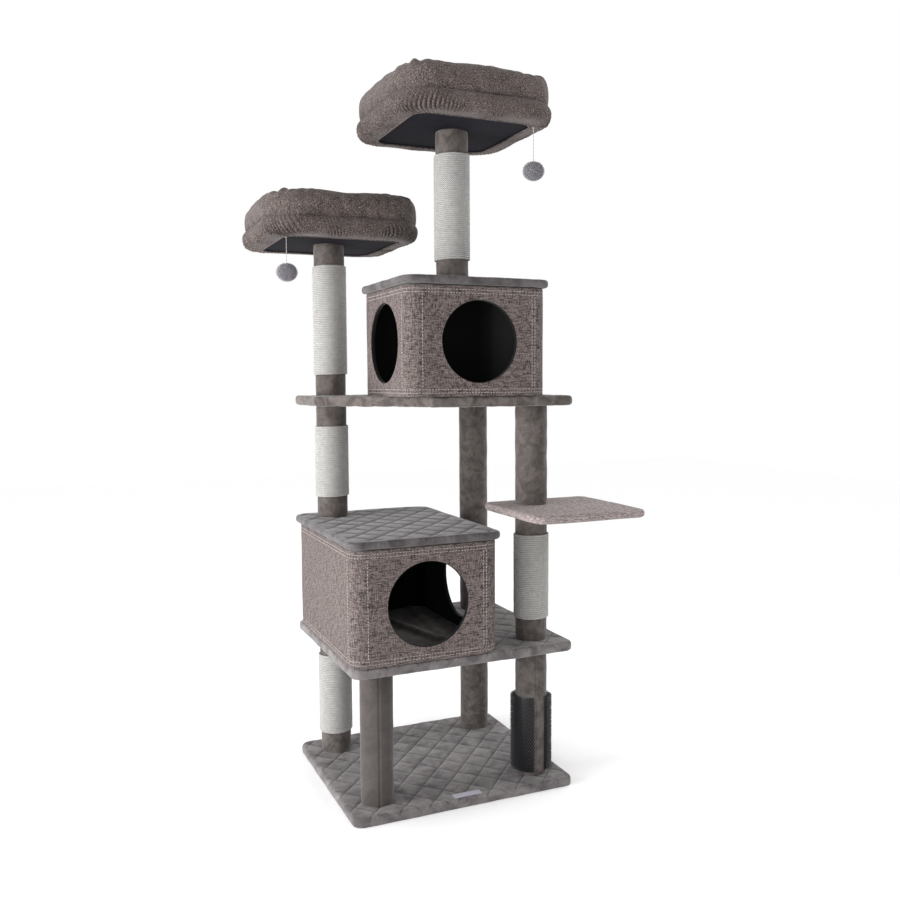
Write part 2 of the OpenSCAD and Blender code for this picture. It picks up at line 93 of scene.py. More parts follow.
def give_finish(piece, material):
    """Makes the material a piece's only one."""
    piece.data.materials.clear()
    piece.data.materials.append(material)
    return piece


# Cotton string: matt and pale grey, with the twist of its two strands as fine slanting ridges. The real
# twist repeats every 2 mm; it is drawn every 3 mm so that it shows.
cotton_string, tree, shader = new_finish("twisted_cotton_string", Roughness=0.9, Sheen_Weight=0.3)
place = add(tree, "TexCoord")
turned = add(tree, "Mapping", {"Vector": place.outputs["Object"], "Rotation": (0.6, 0.6, 0)})
twist = add(tree, "TexWave", {"Vector": turned.outputs[0], "Scale": 50.0, "Distortion": 1.5},
            bands_direction="Z")
shade = add(tree, "Mix", {0: twist.outputs["Color"], 6: linear("#8f8d8b"), 7: linear("#c4c1be")},
            data_type="RGBA")
tree.links.new(shade.outputs[2], shader.inputs["Base Color"])
ridge = add(tree, "Bump", {"Height": twist.outputs["Color"], "Strength": 0.6, "Distance": 0.0003})
tree.links.new(ridge.outputs[0], shader.inputs["Normal"])

for toy, knot in TOY_KNOTS.items():
    line = bpy.data.curves.new(toy + "_cotton_string", "CURVE")
    line.dimensions = "3D"
    run = line.splines.new("POLY")
    run.points.add(15)
    for i, point in enumerate(run.points):
        point.co = (knot[0], knot[1], knot[2] - STRING_DROP - i * (STRING_SEEN[toy] + STRING_SUNK) / 15, 1)
    line.bevel_depth = STRING_D / 2
    line.bevel_resolution = 3
    line.use_fill_caps = True
    string = bpy.data.objects.new(toy + "_cotton_string", line)
    bpy.context.collection.objects.link(string)
    give_finish(string, cotton_string)
    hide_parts(toy + "_string")
    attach(string, toy + "_hanging")

# ---------------------------------------------------------------------------------------------
# Knots. Each string ends in an overhand knot 6 mm across, pulled tight where it comes out under
# the bed. It is the same cotton.
# ---------------------------------------------------------------------------------------------
def begin():
    """Leaves nothing selected, so that the next operator acts only on what is added next."""
    if bpy.context.object and bpy.context.object.mode != "OBJECT":
        bpy.ops.object.mode_set(mode="OBJECT")
    bpy.ops.object.select_all(action="DESELECT")


def work_on(piece):
    """Leaves only this piece selected, and active."""
    begin()
    piece.select_set(True)
    bpy.context.view_layer.objects.active = piece


def settle(name):
    """Names the piece being worked on, and puts its place, turn and size into its mesh."""
    piece = bpy.context.object
    piece.name = name
    piece.data.name = name
    bpy.ops.object.transform_apply(location=True, rotation=True, scale=True)
    return piece


def apply_modifier(piece, kind, **settings):
    """Adds a modifier to a piece with its settings, and applies it."""
    work_on(piece)
    bpy.ops.object.modifier_add(type=kind)
    modifier = piece.modifiers[-1]
    for key, value in settings.items():
        setattr(modifier, key, value)
    bpy.ops.object.modifier_apply(modifier=modifier.name)


def smooth_faces(piece, angle=None):
    """Shades a piece smooth, or smooth only where its faces meet at less than the angle."""
    work_on(piece)
    if angle is None:
        bpy.ops.object.shade_smooth()
    else:
        bpy.ops.object.shade_smooth_by_angle(angle=math.radians(angle))


def joined(name, pieces):
    """Joins pieces into the first of them."""
    begin()
    for piece in pieces:
        piece.select_set(True)
    bpy.context.view_layer.objects.active = pieces[0]
    bpy.ops.object.join()
    pieces[0].name = name
    return pieces[0]


def copied(piece, name, move):
    """A copy of a piece with its own mesh, moved by move."""
    twin = piece.copy()
    twin.data = piece.data.copy()
    twin.name = name
    twin.data.name = name
    twin.data.transform(Matrix.Translation(move))
    bpy.context.collection.objects.link(twin)
    return twin


KNOT_MAJOR = 0.0015
KNOT_MINOR = 0.0012
loops = []
for i, turn in enumerate([(0.5, 0.2, 0), (1.6, 0.5, 0.8), (0.9, 1.5, 2.2)]):
    begin()
    bpy.ops.mesh.primitive_torus_add(major_segments=24, minor_segments=10, major_radius=KNOT_MAJOR,
                                     minor_radius=KNOT_MINOR, rotation=turn)
    loops.append(settle("knot_loop"))
tied = joined("left_toy_tied_knot", loops)
apply_modifier(tied, "REMESH", mode="VOXEL", voxel_size=0.00028)
apply_modifier(tied, "SMOOTH", factor=0.5, iterations=3)
smooth_faces(tied)
knots = {"top_toy": copied(tied, "top_toy_tied_knot", TOY_KNOTS["top_toy"])}
tied.data.transform(Matrix.Translation(TOY_KNOTS["left_toy"]))
knots["left_toy"] = tied
for toy, piece in knots.items():
    give_finish(piece, cotton_string)
    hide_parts(toy + "_knot")
    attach(piece, toy + "_knot")

# ---------------------------------------------------------------------------------------------
# Pom-poms. Each is a ball of grey-lilac yarn 50 mm across: a tied core with cut yarn ends that
# stand out all round it, so its outline is fuzzy and slightly oblong.
# ---------------------------------------------------------------------------------------------
BALL_R = 0.025
BALL_CORE = 0.0195
BALL_STRETCH = (1.13, 1.06, 0.97, 1)
YARN_ENDS = 2600
YARN_LENGTH = 0.0068
YARN_ROOT = 0.0012  # how deep each yarn end is set into the core


def scattered(name, pattern, places):
    """One mesh that holds a copy of a small pattern mesh at each of the places, 4 by 4 matrices."""
    count = len(pattern.data.vertices)
    points = np.empty(count * 3)
    pattern.data.vertices.foreach_get("co", points)
    points = np.c_[points.reshape(-1, 3), np.ones(count)]
    faces = [list(f.vertices) for f in pattern.data.polygons]
    everywhere = np.einsum("nij,kj->nki", places, points)[:, :, :3].reshape(-1, 3)
    every_face = [[v + n * count for v in f] for n in range(len(places)) for f in faces]
    mesh = bpy.data.meshes.new(name)
    mesh.from_pydata(everywhere.tolist(), [], every_face)
    mesh.update()
    piece = bpy.data.objects.new(name, mesh)
    bpy.context.collection.objects.link(piece)
    bpy.data.objects.remove(pattern)
    smooth_faces(piece)
    return piece


def frames(origins, along, out):
    """Matrices at the origins whose X is along, Z is out, and Y is square to both."""
    along = along / np.linalg.norm(along, axis=1)[:, None]
    side = np.cross(out, along)
    side = side / np.linalg.norm(side, axis=1)[:, None]
    up = np.cross(along, side)
    places = np.zeros((len(origins), 4, 4))
    places[:, :3, 0], places[:, :3, 1], places[:, :3, 2], places[:, :3, 3] = along, side, up, origins
    places[:, 3, 3] = 1
    return places


# Acrylic yarn: soft and matt with a light sheen; its ends are paler than the shaded gaps.
pom_yarn, tree, shader = new_finish("acrylic_pom_pom_yarn", Roughness=0.95, Sheen_Weight=0.5)
place = add(tree, "TexCoord")
strand = add(tree, "TexNoise", {"Vector": place.outputs["Object"], "Scale": 700.0, "Detail": 3.0})
shade = add(tree, "Mix", {0: strand.outputs["Fac"], 6: linear("#6d6a70"), 7: linear("#a8a4ac")},
            data_type="RGBA")
tree.links.new(shade.outputs[2], shader.inputs["Base Color"])
ridge = add(tree, "Bump", {"Height": strand.outputs["Fac"], "Strength": 0.5, "Distance": 0.0005})
tree.links.new(ridge.outputs[0], shader.inputs["Normal"])

begin()
bpy.ops.mesh.primitive_cone_add(vertices=5, radius1=0.00055, radius2=0.00025, depth=YARN_LENGTH,
                                location=(YARN_LENGTH / 2, 0, 0), rotation=(0, math.pi / 2, 0))
yarn_end = settle("yarn_end")
rng = np.random.default_rng(7)
index = np.arange(YARN_ENDS) + 0.5
height = 1 - 2 * index / YARN_ENDS
around_ball = index * math.pi * (3 - math.sqrt(5))
flat = np.sqrt(1 - height**2)
spoke = np.c_[flat * np.cos(around_ball), flat * np.sin(around_ball), height]
lean = spoke + rng.normal(scale=0.34, size=spoke.shape)
places = frames(spoke * (BALL_CORE - YARN_ROOT), lean, np.cross(lean, rng.normal(size=spoke.shape)))
places[:, :3, 0] *= rng.uniform(0.72, 1.08, YARN_ENDS)[:, None]
fuzz = scattered("left_toy_yarn_ends", yarn_end, places)
begin()
bpy.ops.mesh.primitive_ico_sphere_add(subdivisions=4, radius=BALL_CORE)
core = settle("yarn_core")
smooth_faces(core)
ball = joined("left_toy_pom_pom", [fuzz, core])
ball.data.transform(Matrix.Diagonal(BALL_STRETCH))
ball_at = {toy: Vector(knot) - Vector((0, 0, STRING_DROP + STRING_SEEN[toy] + BALL_R))
           for toy, knot in TOY_KNOTS.items()}
balls = {"top_toy": copied(ball, "top_toy_pom_pom", ball_at["top_toy"])}
ball.data.transform(Matrix.Translation(ball_at["left_toy"]))
balls["left_toy"] = ball
for toy, piece in balls.items():
    give_finish(piece, pom_yarn)
    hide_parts(toy + "_ball")
    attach(piece, toy + "_hanging")

# ---------------------------------------------------------------------------------------------
# Boards. The base, the shelves, the step and the condo lids are particle board 12 and 18 mm
# thick, sawn and drilled. Only the base's underside shows; the rest are inside their covers.
# ---------------------------------------------------------------------------------------------
# Particle board: pale wood flakes 2 to 4 mm long pressed with glue, matt and slightly rough.
particle_board, tree, shader = new_finish("pressed_particle_board", Roughness=0.85)
place = add(tree, "TexCoord")
flakes = add(tree, "TexVoronoi", {"Vector": place.outputs["Object"], "Scale": 330.0})
tone = add(tree, "TexNoise", {"Vector": place.outputs["Object"], "Scale": 25.0, "Detail": 5.0})
shade = add(tree, "Mix", {0: flakes.outputs["Color"], 6: linear("#a98c66"), 7: linear("#cdb38c")},
            data_type="RGBA")
stain = add(tree, "Mix", {0: tone.outputs["Fac"], 6: shade.outputs[2], 7: linear("#b99c74")},
            data_type="RGBA")
tree.links.new(stain.outputs[2], shader.inputs["Base Color"])
ridge = add(tree, "Bump", {"Height": flakes.outputs["Distance"], "Strength": 0.3, "Distance": 0.0004})
tree.links.new(ridge.outputs[0], shader.inputs["Normal"])


def finish_node(node, material):
    """Gives a CAD piece that stays in sight its material."""
    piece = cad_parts[node]
    piece.data.materials.clear()
    piece.data.materials.append(material)


for node in ["base_board", "middle_shelf_board", "upper_shelf_board", "step_board",
             "lower_condo_lid_board", "upper_condo_lid_board"]:
    finish_node(node, particle_board)

# ---------------------------------------------------------------------------------------------
# Plush covers. Short-pile velvet with thin wadding is wrapped round each board and stapled, so
# the edges are round and soft. Its top is quilted in diamonds 78 by 85 mm by sunken stitching.
# ---------------------------------------------------------------------------------------------
CLOTH_WRAP = 0.004
SHELF_W, SHELF_D, SHELF_CORNER = 0.6, 0.525, 0.025
SHELF_T, THIN_T, BOARD_T = 0.026, 0.02, 0.018
BASE_TOP, MIDDLE_Z, MIDDLE_TOP = 0.022, 0.357, 0.383
UPPER_Z, UPPER_TOP = 0.995, 1.021
LOWER_LID_Z, LOWER_LID_TOP = 0.667, 0.687
UPPER_LID_Z, UPPER_LID_TOP = 1.288, 1.308
DIAMOND_X, DIAMOND_Y = 0.078, 0.085
DIAMOND_CENTRE = (-0.006, 0.063)
GROOVE_DEPTH, GROOVE_WIDTH = 0.0016, 0.0028
PILE_PUFF = 0.0016
LEFT_X, RIGHT_X, FRONT_Y, BACK_Y = -0.216, 0.216, -0.1785, 0.1785
TOP_POST = (0.031, -0.0965)


def unevenness(points, size, seed):
    """A smooth wavy value, about -1 to 1, at each point, with bumps about size metres across."""
    rng = np.random.default_rng(seed)
    waves = rng.normal(size=(14, 3))
    waves *= (rng.uniform(0.6, 1.5, 14) * math.pi / size / np.linalg.norm(waves, axis=1))[:, None]
    return np.sin(points @ waves.T + rng.uniform(0, 2 * math.pi, 14)).sum(axis=1) / 4.5


def mesh_points(piece):
    """A piece's points and their normals, as two arrays."""
    count = len(piece.data.vertices)
    points, normals = np.empty(count * 3), np.empty(count * 3)
    piece.data.vertices.foreach_get("co", points)
    piece.data.vertex_normals.foreach_get("vector", normals)
    return points.reshape(-1, 3), normals.reshape(-1, 3)


def move_points(piece, points):
    """Puts a piece's points where the array says."""
    piece.data.vertices.foreach_set("co", np.asarray(points, dtype=float).ravel())
    piece.data.update()


def choose(piece, kind, test):
    """Opens a piece for editing with only the edges or faces selected that pass the test, which
    is given the middle and the direction of an edge, or the middle and the normal of a face."""
    work_on(piece)
    bpy.ops.object.mode_set(mode="EDIT")
    bpy.ops.mesh.select_mode(type=kind)
    bpy.ops.mesh.select_all(action="DESELECT")
    bpy.ops.object.mode_set(mode="OBJECT")
    mesh = piece.data
    if kind == "EDGE":
        for edge in mesh.edges:
            a, b = (mesh.vertices[i].co for i in edge.vertices)
            edge.select = test((a + b) / 2, (b - a).normalized())
    else:
        for face in mesh.polygons:
            face.select = test(face.center, face.normal)
    bpy.ops.object.mode_set(mode="EDIT")


def soft_slab(name, low, size, corner, rim, rim_steps=4):
    """A slab with round upright corners and rounded rims, from its lowest corner and its size."""
    begin()
    bpy.ops.mesh.primitive_cube_add(size=1, location=[a + b / 2 for a, b in zip(low, size)], scale=size)
    piece = settle(name)
    choose(piece, "EDGE", lambda middle, way: abs(way.z) > 0.9)
    bpy.ops.mesh.bevel(offset=corner, segments=10, affect="EDGES")
    bpy.ops.object.mode_set(mode="OBJECT")
    if rim > 0:
        top, bottom = low[2] + size[2], low[2]
        choose(piece, "EDGE", lambda middle, way: min(abs(middle.z - top), abs(middle.z - bottom)) < 1e-5)
        bpy.ops.mesh.bevel(offset=rim, segments=rim_steps, affect="EDGES")
        bpy.ops.object.mode_set(mode="OBJECT")
    return piece


def upright_pin(name, x, y, low, high, radius, sides=32):
    """A round upright pin, for cutting a hole."""
    begin()
    bpy.ops.mesh.primitive_cylinder_add(vertices=sides, radius=radius, depth=high - low,
                                        location=(x, y, (low + high) / 2))
    return settle(name)


def cut_away(piece, cutter):
    """Cuts the cutter's shape out of a piece, and removes the cutter."""
    apply_modifier(piece, "BOOLEAN", operation="DIFFERENCE", object=cutter, solver="EXACT")
    bpy.data.objects.remove(cutter)


def quilted(points, normals):
    """How far each point of a quilted cover is pulled in along its stitching, in metres."""
    x, y = points[:, 0] - DIAMOND_CENTRE[0], points[:, 1] - DIAMOND_CENTRE[1]
    between = 1 / math.hypot(1 / DIAMOND_X, 1 / DIAMOND_Y)
    nearest = np.full(len(points), between)
    for way in (1, -1):
        lines = x / DIAMOND_X + way * y / DIAMOND_Y
        nearest = np.minimum(nearest, (0.5 - np.abs(lines - np.round(lines))) * between)
    pillow = 1 - np.clip(1 - nearest / (between / 2), 0, 1) ** 2.2
    sunk = PILE_PUFF * (pillow - 1) - GROOVE_DEPTH * np.exp(-((nearest / GROOVE_WIDTH) ** 2))
    return sunk * (0.25 + 0.75 * np.abs(normals[:, 2]) ** 2)


def wrapped(name, low, size, corner, diamonds, seed, rim=0.0085, corner_cut=None, voxel=0.0033):
    """A board's soft outer cover, before the board's own space is cut out of it."""
    piece = soft_slab(name, low, size, corner, rim)
    if corner_cut:
        cut_away(piece, corner_cut)
    apply_modifier(piece, "REMESH", mode="VOXEL", voxel_size=voxel)
    apply_modifier(piece, "SMOOTH", factor=0.5, iterations=4)
    points, normals = mesh_points(piece)
    lift = 0.0003 + 0.0005 * unevenness(points, 0.045, seed)
    if diamonds:
        edge = np.array(low[:2])
        inside = np.minimum(points[:, :2] - edge, edge + np.array(size[:2]) - points[:, :2])
        lift += quilted(points, normals) * np.clip((inside.min(axis=1) - 0.004) / 0.02, 0.1, 1)
    move_points(piece, points + normals * lift[:, None])
    return piece


def hollow(piece, cutters):
    """Cuts the board's space and the holes for its bolts out of a cover."""
    space = cutters[0]
    for pin in cutters[1:]:
        apply_modifier(space, "BOOLEAN", operation="UNION", object=pin, solver="EXACT")
        bpy.data.objects.remove(pin)
    cut_away(piece, space)
    smooth_faces(piece, 40)


def plush(name, dark, light, patch, sheen=0.35, painted_groove_shade=False):
    """Short-pile velvet. The pile leans different ways in patches about patch metres across, which
    are darker or paler, and its 0.5 mm tufts are drawn 1.6 mm wide so that they show. Quilted
    velvet has painted shade along the sunken diamond lines of its upward faces."""
    material, tree, shader = new_finish(name, Roughness=0.88, Sheen_Weight=sheen, Sheen_Roughness=0.4)
    shader.inputs["Specular IOR Level"].default_value = 0.25
    place = add(tree, "TexCoord")
    leaning = add(tree, "TexNoise", {"Vector": place.outputs["Object"], "Scale": 1 / patch, "Detail": 4.0,
                                     "Roughness": 0.62, "Distortion": 0.6})
    spread = add(tree, "MapRange", {"Value": leaning.outputs["Fac"], "From Min": 0.37, "From Max": 0.63})
    tufts = add(tree, "TexNoise", {"Vector": place.outputs["Object"], "Scale": 620.0, "Detail": 2.0})
    shade = add(tree, "Mix", {0: spread.outputs[0], 6: linear(dark), 7: linear(light)}, data_type="RGBA")
    grain = add(tree, "MapRange", {"Value": tufts.outputs["Fac"], "From Min": 0.3, "From Max": 0.7,
                                   "To Min": 0.84, "To Max": 1.12})
    # Painted shade: the velvet's upward faces are darkened along the sunken diamond lines.
    if painted_groove_shade:
        at = add(tree, "SeparateXYZ", {0: place.outputs["Object"]})
        facing = add(tree, "SeparateXYZ", {0: place.outputs["Normal"]})
        across = add(tree, "Math", {0: at.outputs[0], 1: 1 / DIAMOND_X, 2: -DIAMOND_CENTRE[0] / DIAMOND_X},
                     operation="MULTIPLY_ADD")
        lines = []
        for way in (1, -1):
            slanted = add(tree, "Math", {0: at.outputs[1], 1: way / DIAMOND_Y, 2: across.outputs[0]},
                          operation="MULTIPLY_ADD")
            level = add(tree, "Math", {0: slanted.outputs[0], 1: way * DIAMOND_CENTRE[1] / DIAMOND_Y},
                        operation="SUBTRACT")
            lines.append(add(tree, "Math", {0: level.outputs[0], 1: 0.5}, operation="PINGPONG"))
        nearest = add(tree, "Math", {0: lines[0].outputs[0], 1: lines[1].outputs[0]}, operation="MAXIMUM")
        shadow = add(tree, "MapRange", {"Value": nearest.outputs[0], "From Min": 0.452, "From Max": 0.492},
                     interpolation_type="SMOOTHSTEP")
        upwards = add(tree, "Math", {0: shadow.outputs[0], 1: facing.outputs[2]}, operation="MULTIPLY",
                      use_clamp=True)
        sunken = add(tree, "MapRange", {"Value": upwards.outputs[0], "To Min": 1.0, "To Max": 0.42})
        grain = add(tree, "Math", {0: grain.outputs[0], 1: sunken.outputs[0]}, operation="MULTIPLY")
    colour = add(tree, "Mix", {0: 1.0, 6: shade.outputs[2], 7: grain.outputs[0]}, data_type="RGBA",
                 blend_type="MULTIPLY")
    tree.links.new(colour.outputs[2], shader.inputs["Base Color"])
    coarse = add(tree, "Bump", {"Height": leaning.outputs["Fac"], "Strength": 0.22, "Distance": 0.002})
    fine = add(tree, "Bump", {"Height": tufts.outputs["Fac"], "Strength": 0.5, "Distance": 0.0009,
                              "Normal": coarse.outputs[0]})
    tree.links.new(fine.outputs[0], shader.inputs["Normal"])
    return material


# Mid-grey velvet, warm and a little mottled: on the base and the middle shelf, a darker batch on
# the two lids, and a browner one on the upper shelf.
quilted_velvet = plush("quilted_velvet", "#565152", "#7b7676", 0.045, sheen=0.3, painted_groove_shade=True)
lid_velvet = plush("lid_quilted_velvet", "#444041", "#625d5e", 0.045, sheen=0.3, painted_groove_shade=True)
shelf_velvet = plush("shelf_velvet", "#47403d", "#6b6461", 0.03, sheen=0.3, painted_groove_shade=True)


def board_space(low, size, corner, below=0.0):
    """The space of a board inside its cover, run below the cover where the board's face is open."""
    return soft_slab("board_space", (low[0], low[1], low[2] - below), (size[0], size[1], size[2] + below),
                     corner, 0)


BOLT_HEAD_HOLE = 0.0082
BOLT_HOLE = 0.0042
HOLE_PAST, CUT_PAST = 0.005, 0.01  # how far a hole's pin and the corner's cutter stand past the cloth
BELOW_FLOOR = 0.006
shelf_low = (-SHELF_W / 2, -SHELF_D / 2)
inner_low = (shelf_low[0] + CLOTH_WRAP, shelf_low[1] + CLOTH_WRAP)
inner_size = (SHELF_W - 2 * CLOTH_WRAP, SHELF_D - 2 * CLOTH_WRAP)
inner_corner = SHELF_CORNER - CLOTH_WRAP

# The base's cover is made a little too deep and cut level with the floor, so its side stays upright
# down to the floor, where the cloth ends flush with the bare board.
base_velvet = wrapped("base_velvet_cover", (*shelf_low, -BELOW_FLOOR),
                      (SHELF_W, SHELF_D, BASE_TOP + BELOW_FLOOR), SHELF_CORNER, True, 1)
under_floor = soft_slab("under_floor", (-0.4, -0.4, -0.05), (0.8, 0.8, 0.05), 0.01, 0)
pins = [upright_pin("hole", x, y, 0.017, 0.03, BOLT_HOLE)
        for x in (LEFT_X, RIGHT_X) for y in (FRONT_Y, BACK_Y)]
base_space = board_space((*inner_low, 0), (*inner_size, BOARD_T), inner_corner, 0.004)
hollow(base_velvet, [base_space, under_floor] + pins)
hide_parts("base_cover")

middle_velvet = wrapped("middle_shelf_velvet_cover", (*shelf_low, MIDDLE_Z), (SHELF_W, SHELF_D, SHELF_T),
                        SHELF_CORNER, True, 2)
pins = [upright_pin("hole", x, y, MIDDLE_Z - HOLE_PAST, MIDDLE_TOP + HOLE_PAST, r)
        for x, r in ((LEFT_X, BOLT_HEAD_HOLE), (RIGHT_X, BOLT_HOLE)) for y in (FRONT_Y, BACK_Y)]
space = board_space((*inner_low, MIDDLE_Z + CLOTH_WRAP), (*inner_size, BOARD_T), inner_corner)
hollow(middle_velvet, [space] + pins)
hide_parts("middle_shelf_cover")

# The upper shelf's front-left corner is cut off in a shallow hollow, 205 by 300 mm.
CUT_CENTRE = (-0.7322, -0.4779)
CUT_R = 0.6726
cut_low, cut_high = UPPER_Z - CUT_PAST, UPPER_TOP + CUT_PAST
upper_velvet = wrapped("upper_shelf_velvet_cover", (*shelf_low, UPPER_Z), (SHELF_W, SHELF_D, SHELF_T),
                       SHELF_CORNER, True, 3,
                       corner_cut=upright_pin("corner_cut", *CUT_CENTRE, cut_low, cut_high, CUT_R, 240))
space = board_space((*inner_low, UPPER_Z + CLOTH_WRAP), (*inner_size, BOARD_T), inner_corner)
cut_away(space, upright_pin("corner_cut", *CUT_CENTRE, cut_low, cut_high, CUT_R + CLOTH_WRAP, 240))
pins = [upright_pin("hole", x, y, UPPER_Z - HOLE_PAST, UPPER_TOP + HOLE_PAST, r)
        for x, y, r in ((RIGHT_X, FRONT_Y, BOLT_HEAD_HOLE), (RIGHT_X, BACK_Y, BOLT_HEAD_HOLE),
                        (LEFT_X, BACK_Y, BOLT_HOLE))]
hollow(upper_velvet, [space] + pins)
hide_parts("upper_shelf_cover")

# The two lids stand 8 mm past the condo walls, and the lower one 18 mm past its back wall.
LID_CORNER = 0.033
lower_lid_low, lower_lid_size = (-0.308, -0.2705, LOWER_LID_Z), (0.4, 0.528, THIN_T)
upper_lid_low, upper_lid_size = (-0.165, -0.2705, UPPER_LID_Z), (0.392, 0.348, THIN_T)
lids = []
for name, low, size, at, seed in [("lower_condo_lid", lower_lid_low, lower_lid_size, (LEFT_X, BACK_Y), 4),
                                  ("upper_condo_lid", upper_lid_low, upper_lid_size, TOP_POST, 5)]:
    lid = wrapped(name + "_velvet_cover", low, size, LID_CORNER, True, seed, rim=0.007)
    space = board_space([v + CLOTH_WRAP for v in low], [v - 2 * CLOTH_WRAP for v in size],
                        LID_CORNER - CLOTH_WRAP)
    pin = upright_pin("hole", *at, low[2] - HOLE_PAST, low[2] + THIN_T + HOLE_PAST, BOLT_HEAD_HOLE)
    hollow(lid, [space, pin])
    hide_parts(name + "_cover")
    lids.append(lid)
for cover in [base_velvet, middle_velvet, *lids]:
    give_finish(cover, lid_velvet if cover in lids else quilted_velvet)
    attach(cover, "tree")
give_finish(upper_velvet, shelf_velvet)
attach(upper_velvet, "tree")

# ---------------------------------------------------------------------------------------------
# Side step. A square board 312 mm wide wrapped in linen over thin wadding, with round edges. It
# is clamped between two posts by a stud through its back-left part.
# ---------------------------------------------------------------------------------------------
STEP_LOW, STEP_SIZE, STEP_CORNER = (0.114, -0.4045, 0.718), (0.312, 0.312, THIN_T), 0.028


def linen(name, dark, light, fleck, sheen=0.05, threads=((70, 70, 500), (500, 500, 70))):
    """Heathered brown-grey linen. Slubby threads cross level and upright; a real thread is 0.7 mm
    and a slub 6 mm long, and they are drawn 2 and 14 mm so that they show. The threads are the
    pattern's scales on X, Y and Z for each set, low along its threads and high across them."""
    material, tree, shader = new_finish(name, Roughness=0.92, Sheen_Weight=sheen)
    shader.inputs["Specular IOR Level"].default_value = 0.2
    place = add(tree, "TexCoord")
    level = add(tree, "Mapping", {"Vector": place.outputs["Object"], "Scale": threads[0]})
    upright = add(tree, "Mapping", {"Vector": place.outputs["Object"], "Scale": threads[1]})
    weft = add(tree, "TexNoise", {"Vector": level.outputs[0], "Scale": 1.0, "Detail": 3.0, "Roughness": 0.6})
    warp = add(tree, "TexNoise",
               {"Vector": upright.outputs[0], "Scale": 1.0, "Detail": 3.0, "Roughness": 0.6})
    both = add(tree, "Math", {0: weft.outputs["Fac"], 1: warp.outputs["Fac"]}, operation="ADD")
    spread = add(tree, "MapRange", {"Value": both.outputs[0], "From Min": 0.85, "From Max": 1.15})
    shade = add(tree, "Mix", {0: spread.outputs[0], 6: linear(dark), 7: linear(light)}, data_type="RGBA")
    specks = add(tree, "TexNoise", {"Vector": place.outputs["Object"], "Scale": 520.0, "Detail": 1.0})
    few = add(tree, "MapRange", {"Value": specks.outputs["Fac"], "From Min": 0.64, "From Max": 0.78})
    flecked = add(tree, "Mix", {0: few.outputs[0], 6: shade.outputs[2], 7: linear(fleck)}, data_type="RGBA")
    tree.links.new(flecked.outputs[2], shader.inputs["Base Color"])
    ridge = add(tree, "Bump", {"Height": both.outputs[0], "Strength": 0.35, "Distance": 0.0006})
    tree.links.new(ridge.outputs[0], shader.inputs["Normal"])
    return material


# On the walls the two sets of threads run level and upright, and on the flat step side to side and
# front to back.
wall_linen = linen("heathered_wall_linen", "#332c2a", "#776c6a", "#a1978f")
step_linen = linen("heathered_step_linen", "#5f5452", "#ada2a0", "#d0c7c3",
                   threads=((70, 500, 500), (500, 70, 500)))
step_cover = wrapped("step_linen_cover", STEP_LOW, STEP_SIZE, STEP_CORNER, False, 6, rim=0.008)
space = board_space([v + CLOTH_WRAP for v in STEP_LOW], [v - 2 * CLOTH_WRAP for v in STEP_SIZE],
                    STEP_CORNER - CLOTH_WRAP)
hollow(step_cover, [space, upright_pin("hole", RIGHT_X, FRONT_Y, 0.71, 0.745, BOLT_HOLE)])
give_finish(step_cover, step_linen)
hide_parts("step_cover")
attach(step_cover, "tree")

# ---------------------------------------------------------------------------------------------
# Post cores and fasteners. Each post is a paper tube 75 mm across with a moulded plug in each
# end; bolts and studs with M8 threads pull the boards onto the plugs. They stay as CAD pieces.
# ---------------------------------------------------------------------------------------------
# Paper tube: brown card wound in a spiral, with faint slanting seams every 40 mm.
wound_card, tree, shader = new_finish("spiral_wound_card", Roughness=0.8)
place = add(tree, "TexCoord")
fibre = add(tree, "TexNoise", {"Vector": place.outputs["Object"], "Scale": 300.0, "Detail": 4.0})
seams = add(tree, "TexWave", {"Vector": place.outputs["Object"], "Scale": 4.0, "Distortion": 0.4},
            bands_direction="Z")
shade = add(tree, "Mix", {0: fibre.outputs["Fac"], 6: linear("#8d6d4b"), 7: linear("#b08f69")},
            data_type="RGBA")
tree.links.new(shade.outputs[2], shader.inputs["Base Color"])
ridge = add(tree, "Bump", {"Height": seams.outputs["Fac"], "Strength": 0.2, "Distance": 0.0003})
tree.links.new(ridge.outputs[0], shader.inputs["Normal"])
finish_node("post_tubes", wound_card)

# Plugs: moulded white polypropylene, slightly waxy, with fine moulding texture.
moulded_plug, tree, shader = new_finish("moulded_polypropylene", Roughness=0.45)
place = add(tree, "TexCoord")
tone = add(tree, "TexNoise", {"Vector": place.outputs["Object"], "Scale": 120.0, "Detail": 3.0})
shade = add(tree, "Mix", {0: tone.outputs["Fac"], 6: linear("#d8d6d0"), 7: linear("#ecebe7")},
            data_type="RGBA")
tree.links.new(shade.outputs[2], shader.inputs["Base Color"])
ridge = add(tree, "Bump", {"Height": tone.outputs["Fac"], "Strength": 0.1, "Distance": 0.0002})
tree.links.new(ridge.outputs[0], shader.inputs["Normal"])
finish_node("post_plugs", moulded_plug)

# Bolts and studs: zinc-plated steel, bright and lightly scratched.
zinc_steel, tree, shader = new_finish("zinc_plated_steel", Metallic=1.0)
place = add(tree, "TexCoord")
turned = add(tree, "Mapping", {"Vector": place.outputs["Object"], "Scale": (900, 900, 60)})
scratches = add(tree, "TexNoise", {"Vector": turned.outputs[0], "Scale": 1.0, "Detail": 3.0})
shade = add(tree, "Mix", {0: scratches.outputs["Fac"], 6: linear("#a9abae"), 7: linear("#d3d5d8")},
            data_type="RGBA")
worn = add(tree, "MapRange", {"Value": scratches.outputs["Fac"], "To Min": 0.25, "To Max": 0.45})
tree.links.new(shade.outputs[2], shader.inputs["Base Color"])
tree.links.new(worn.outputs[0], shader.inputs["Roughness"])
finish_node("post_bolts", zinc_steel)
finish_node("post_studs", zinc_steel)

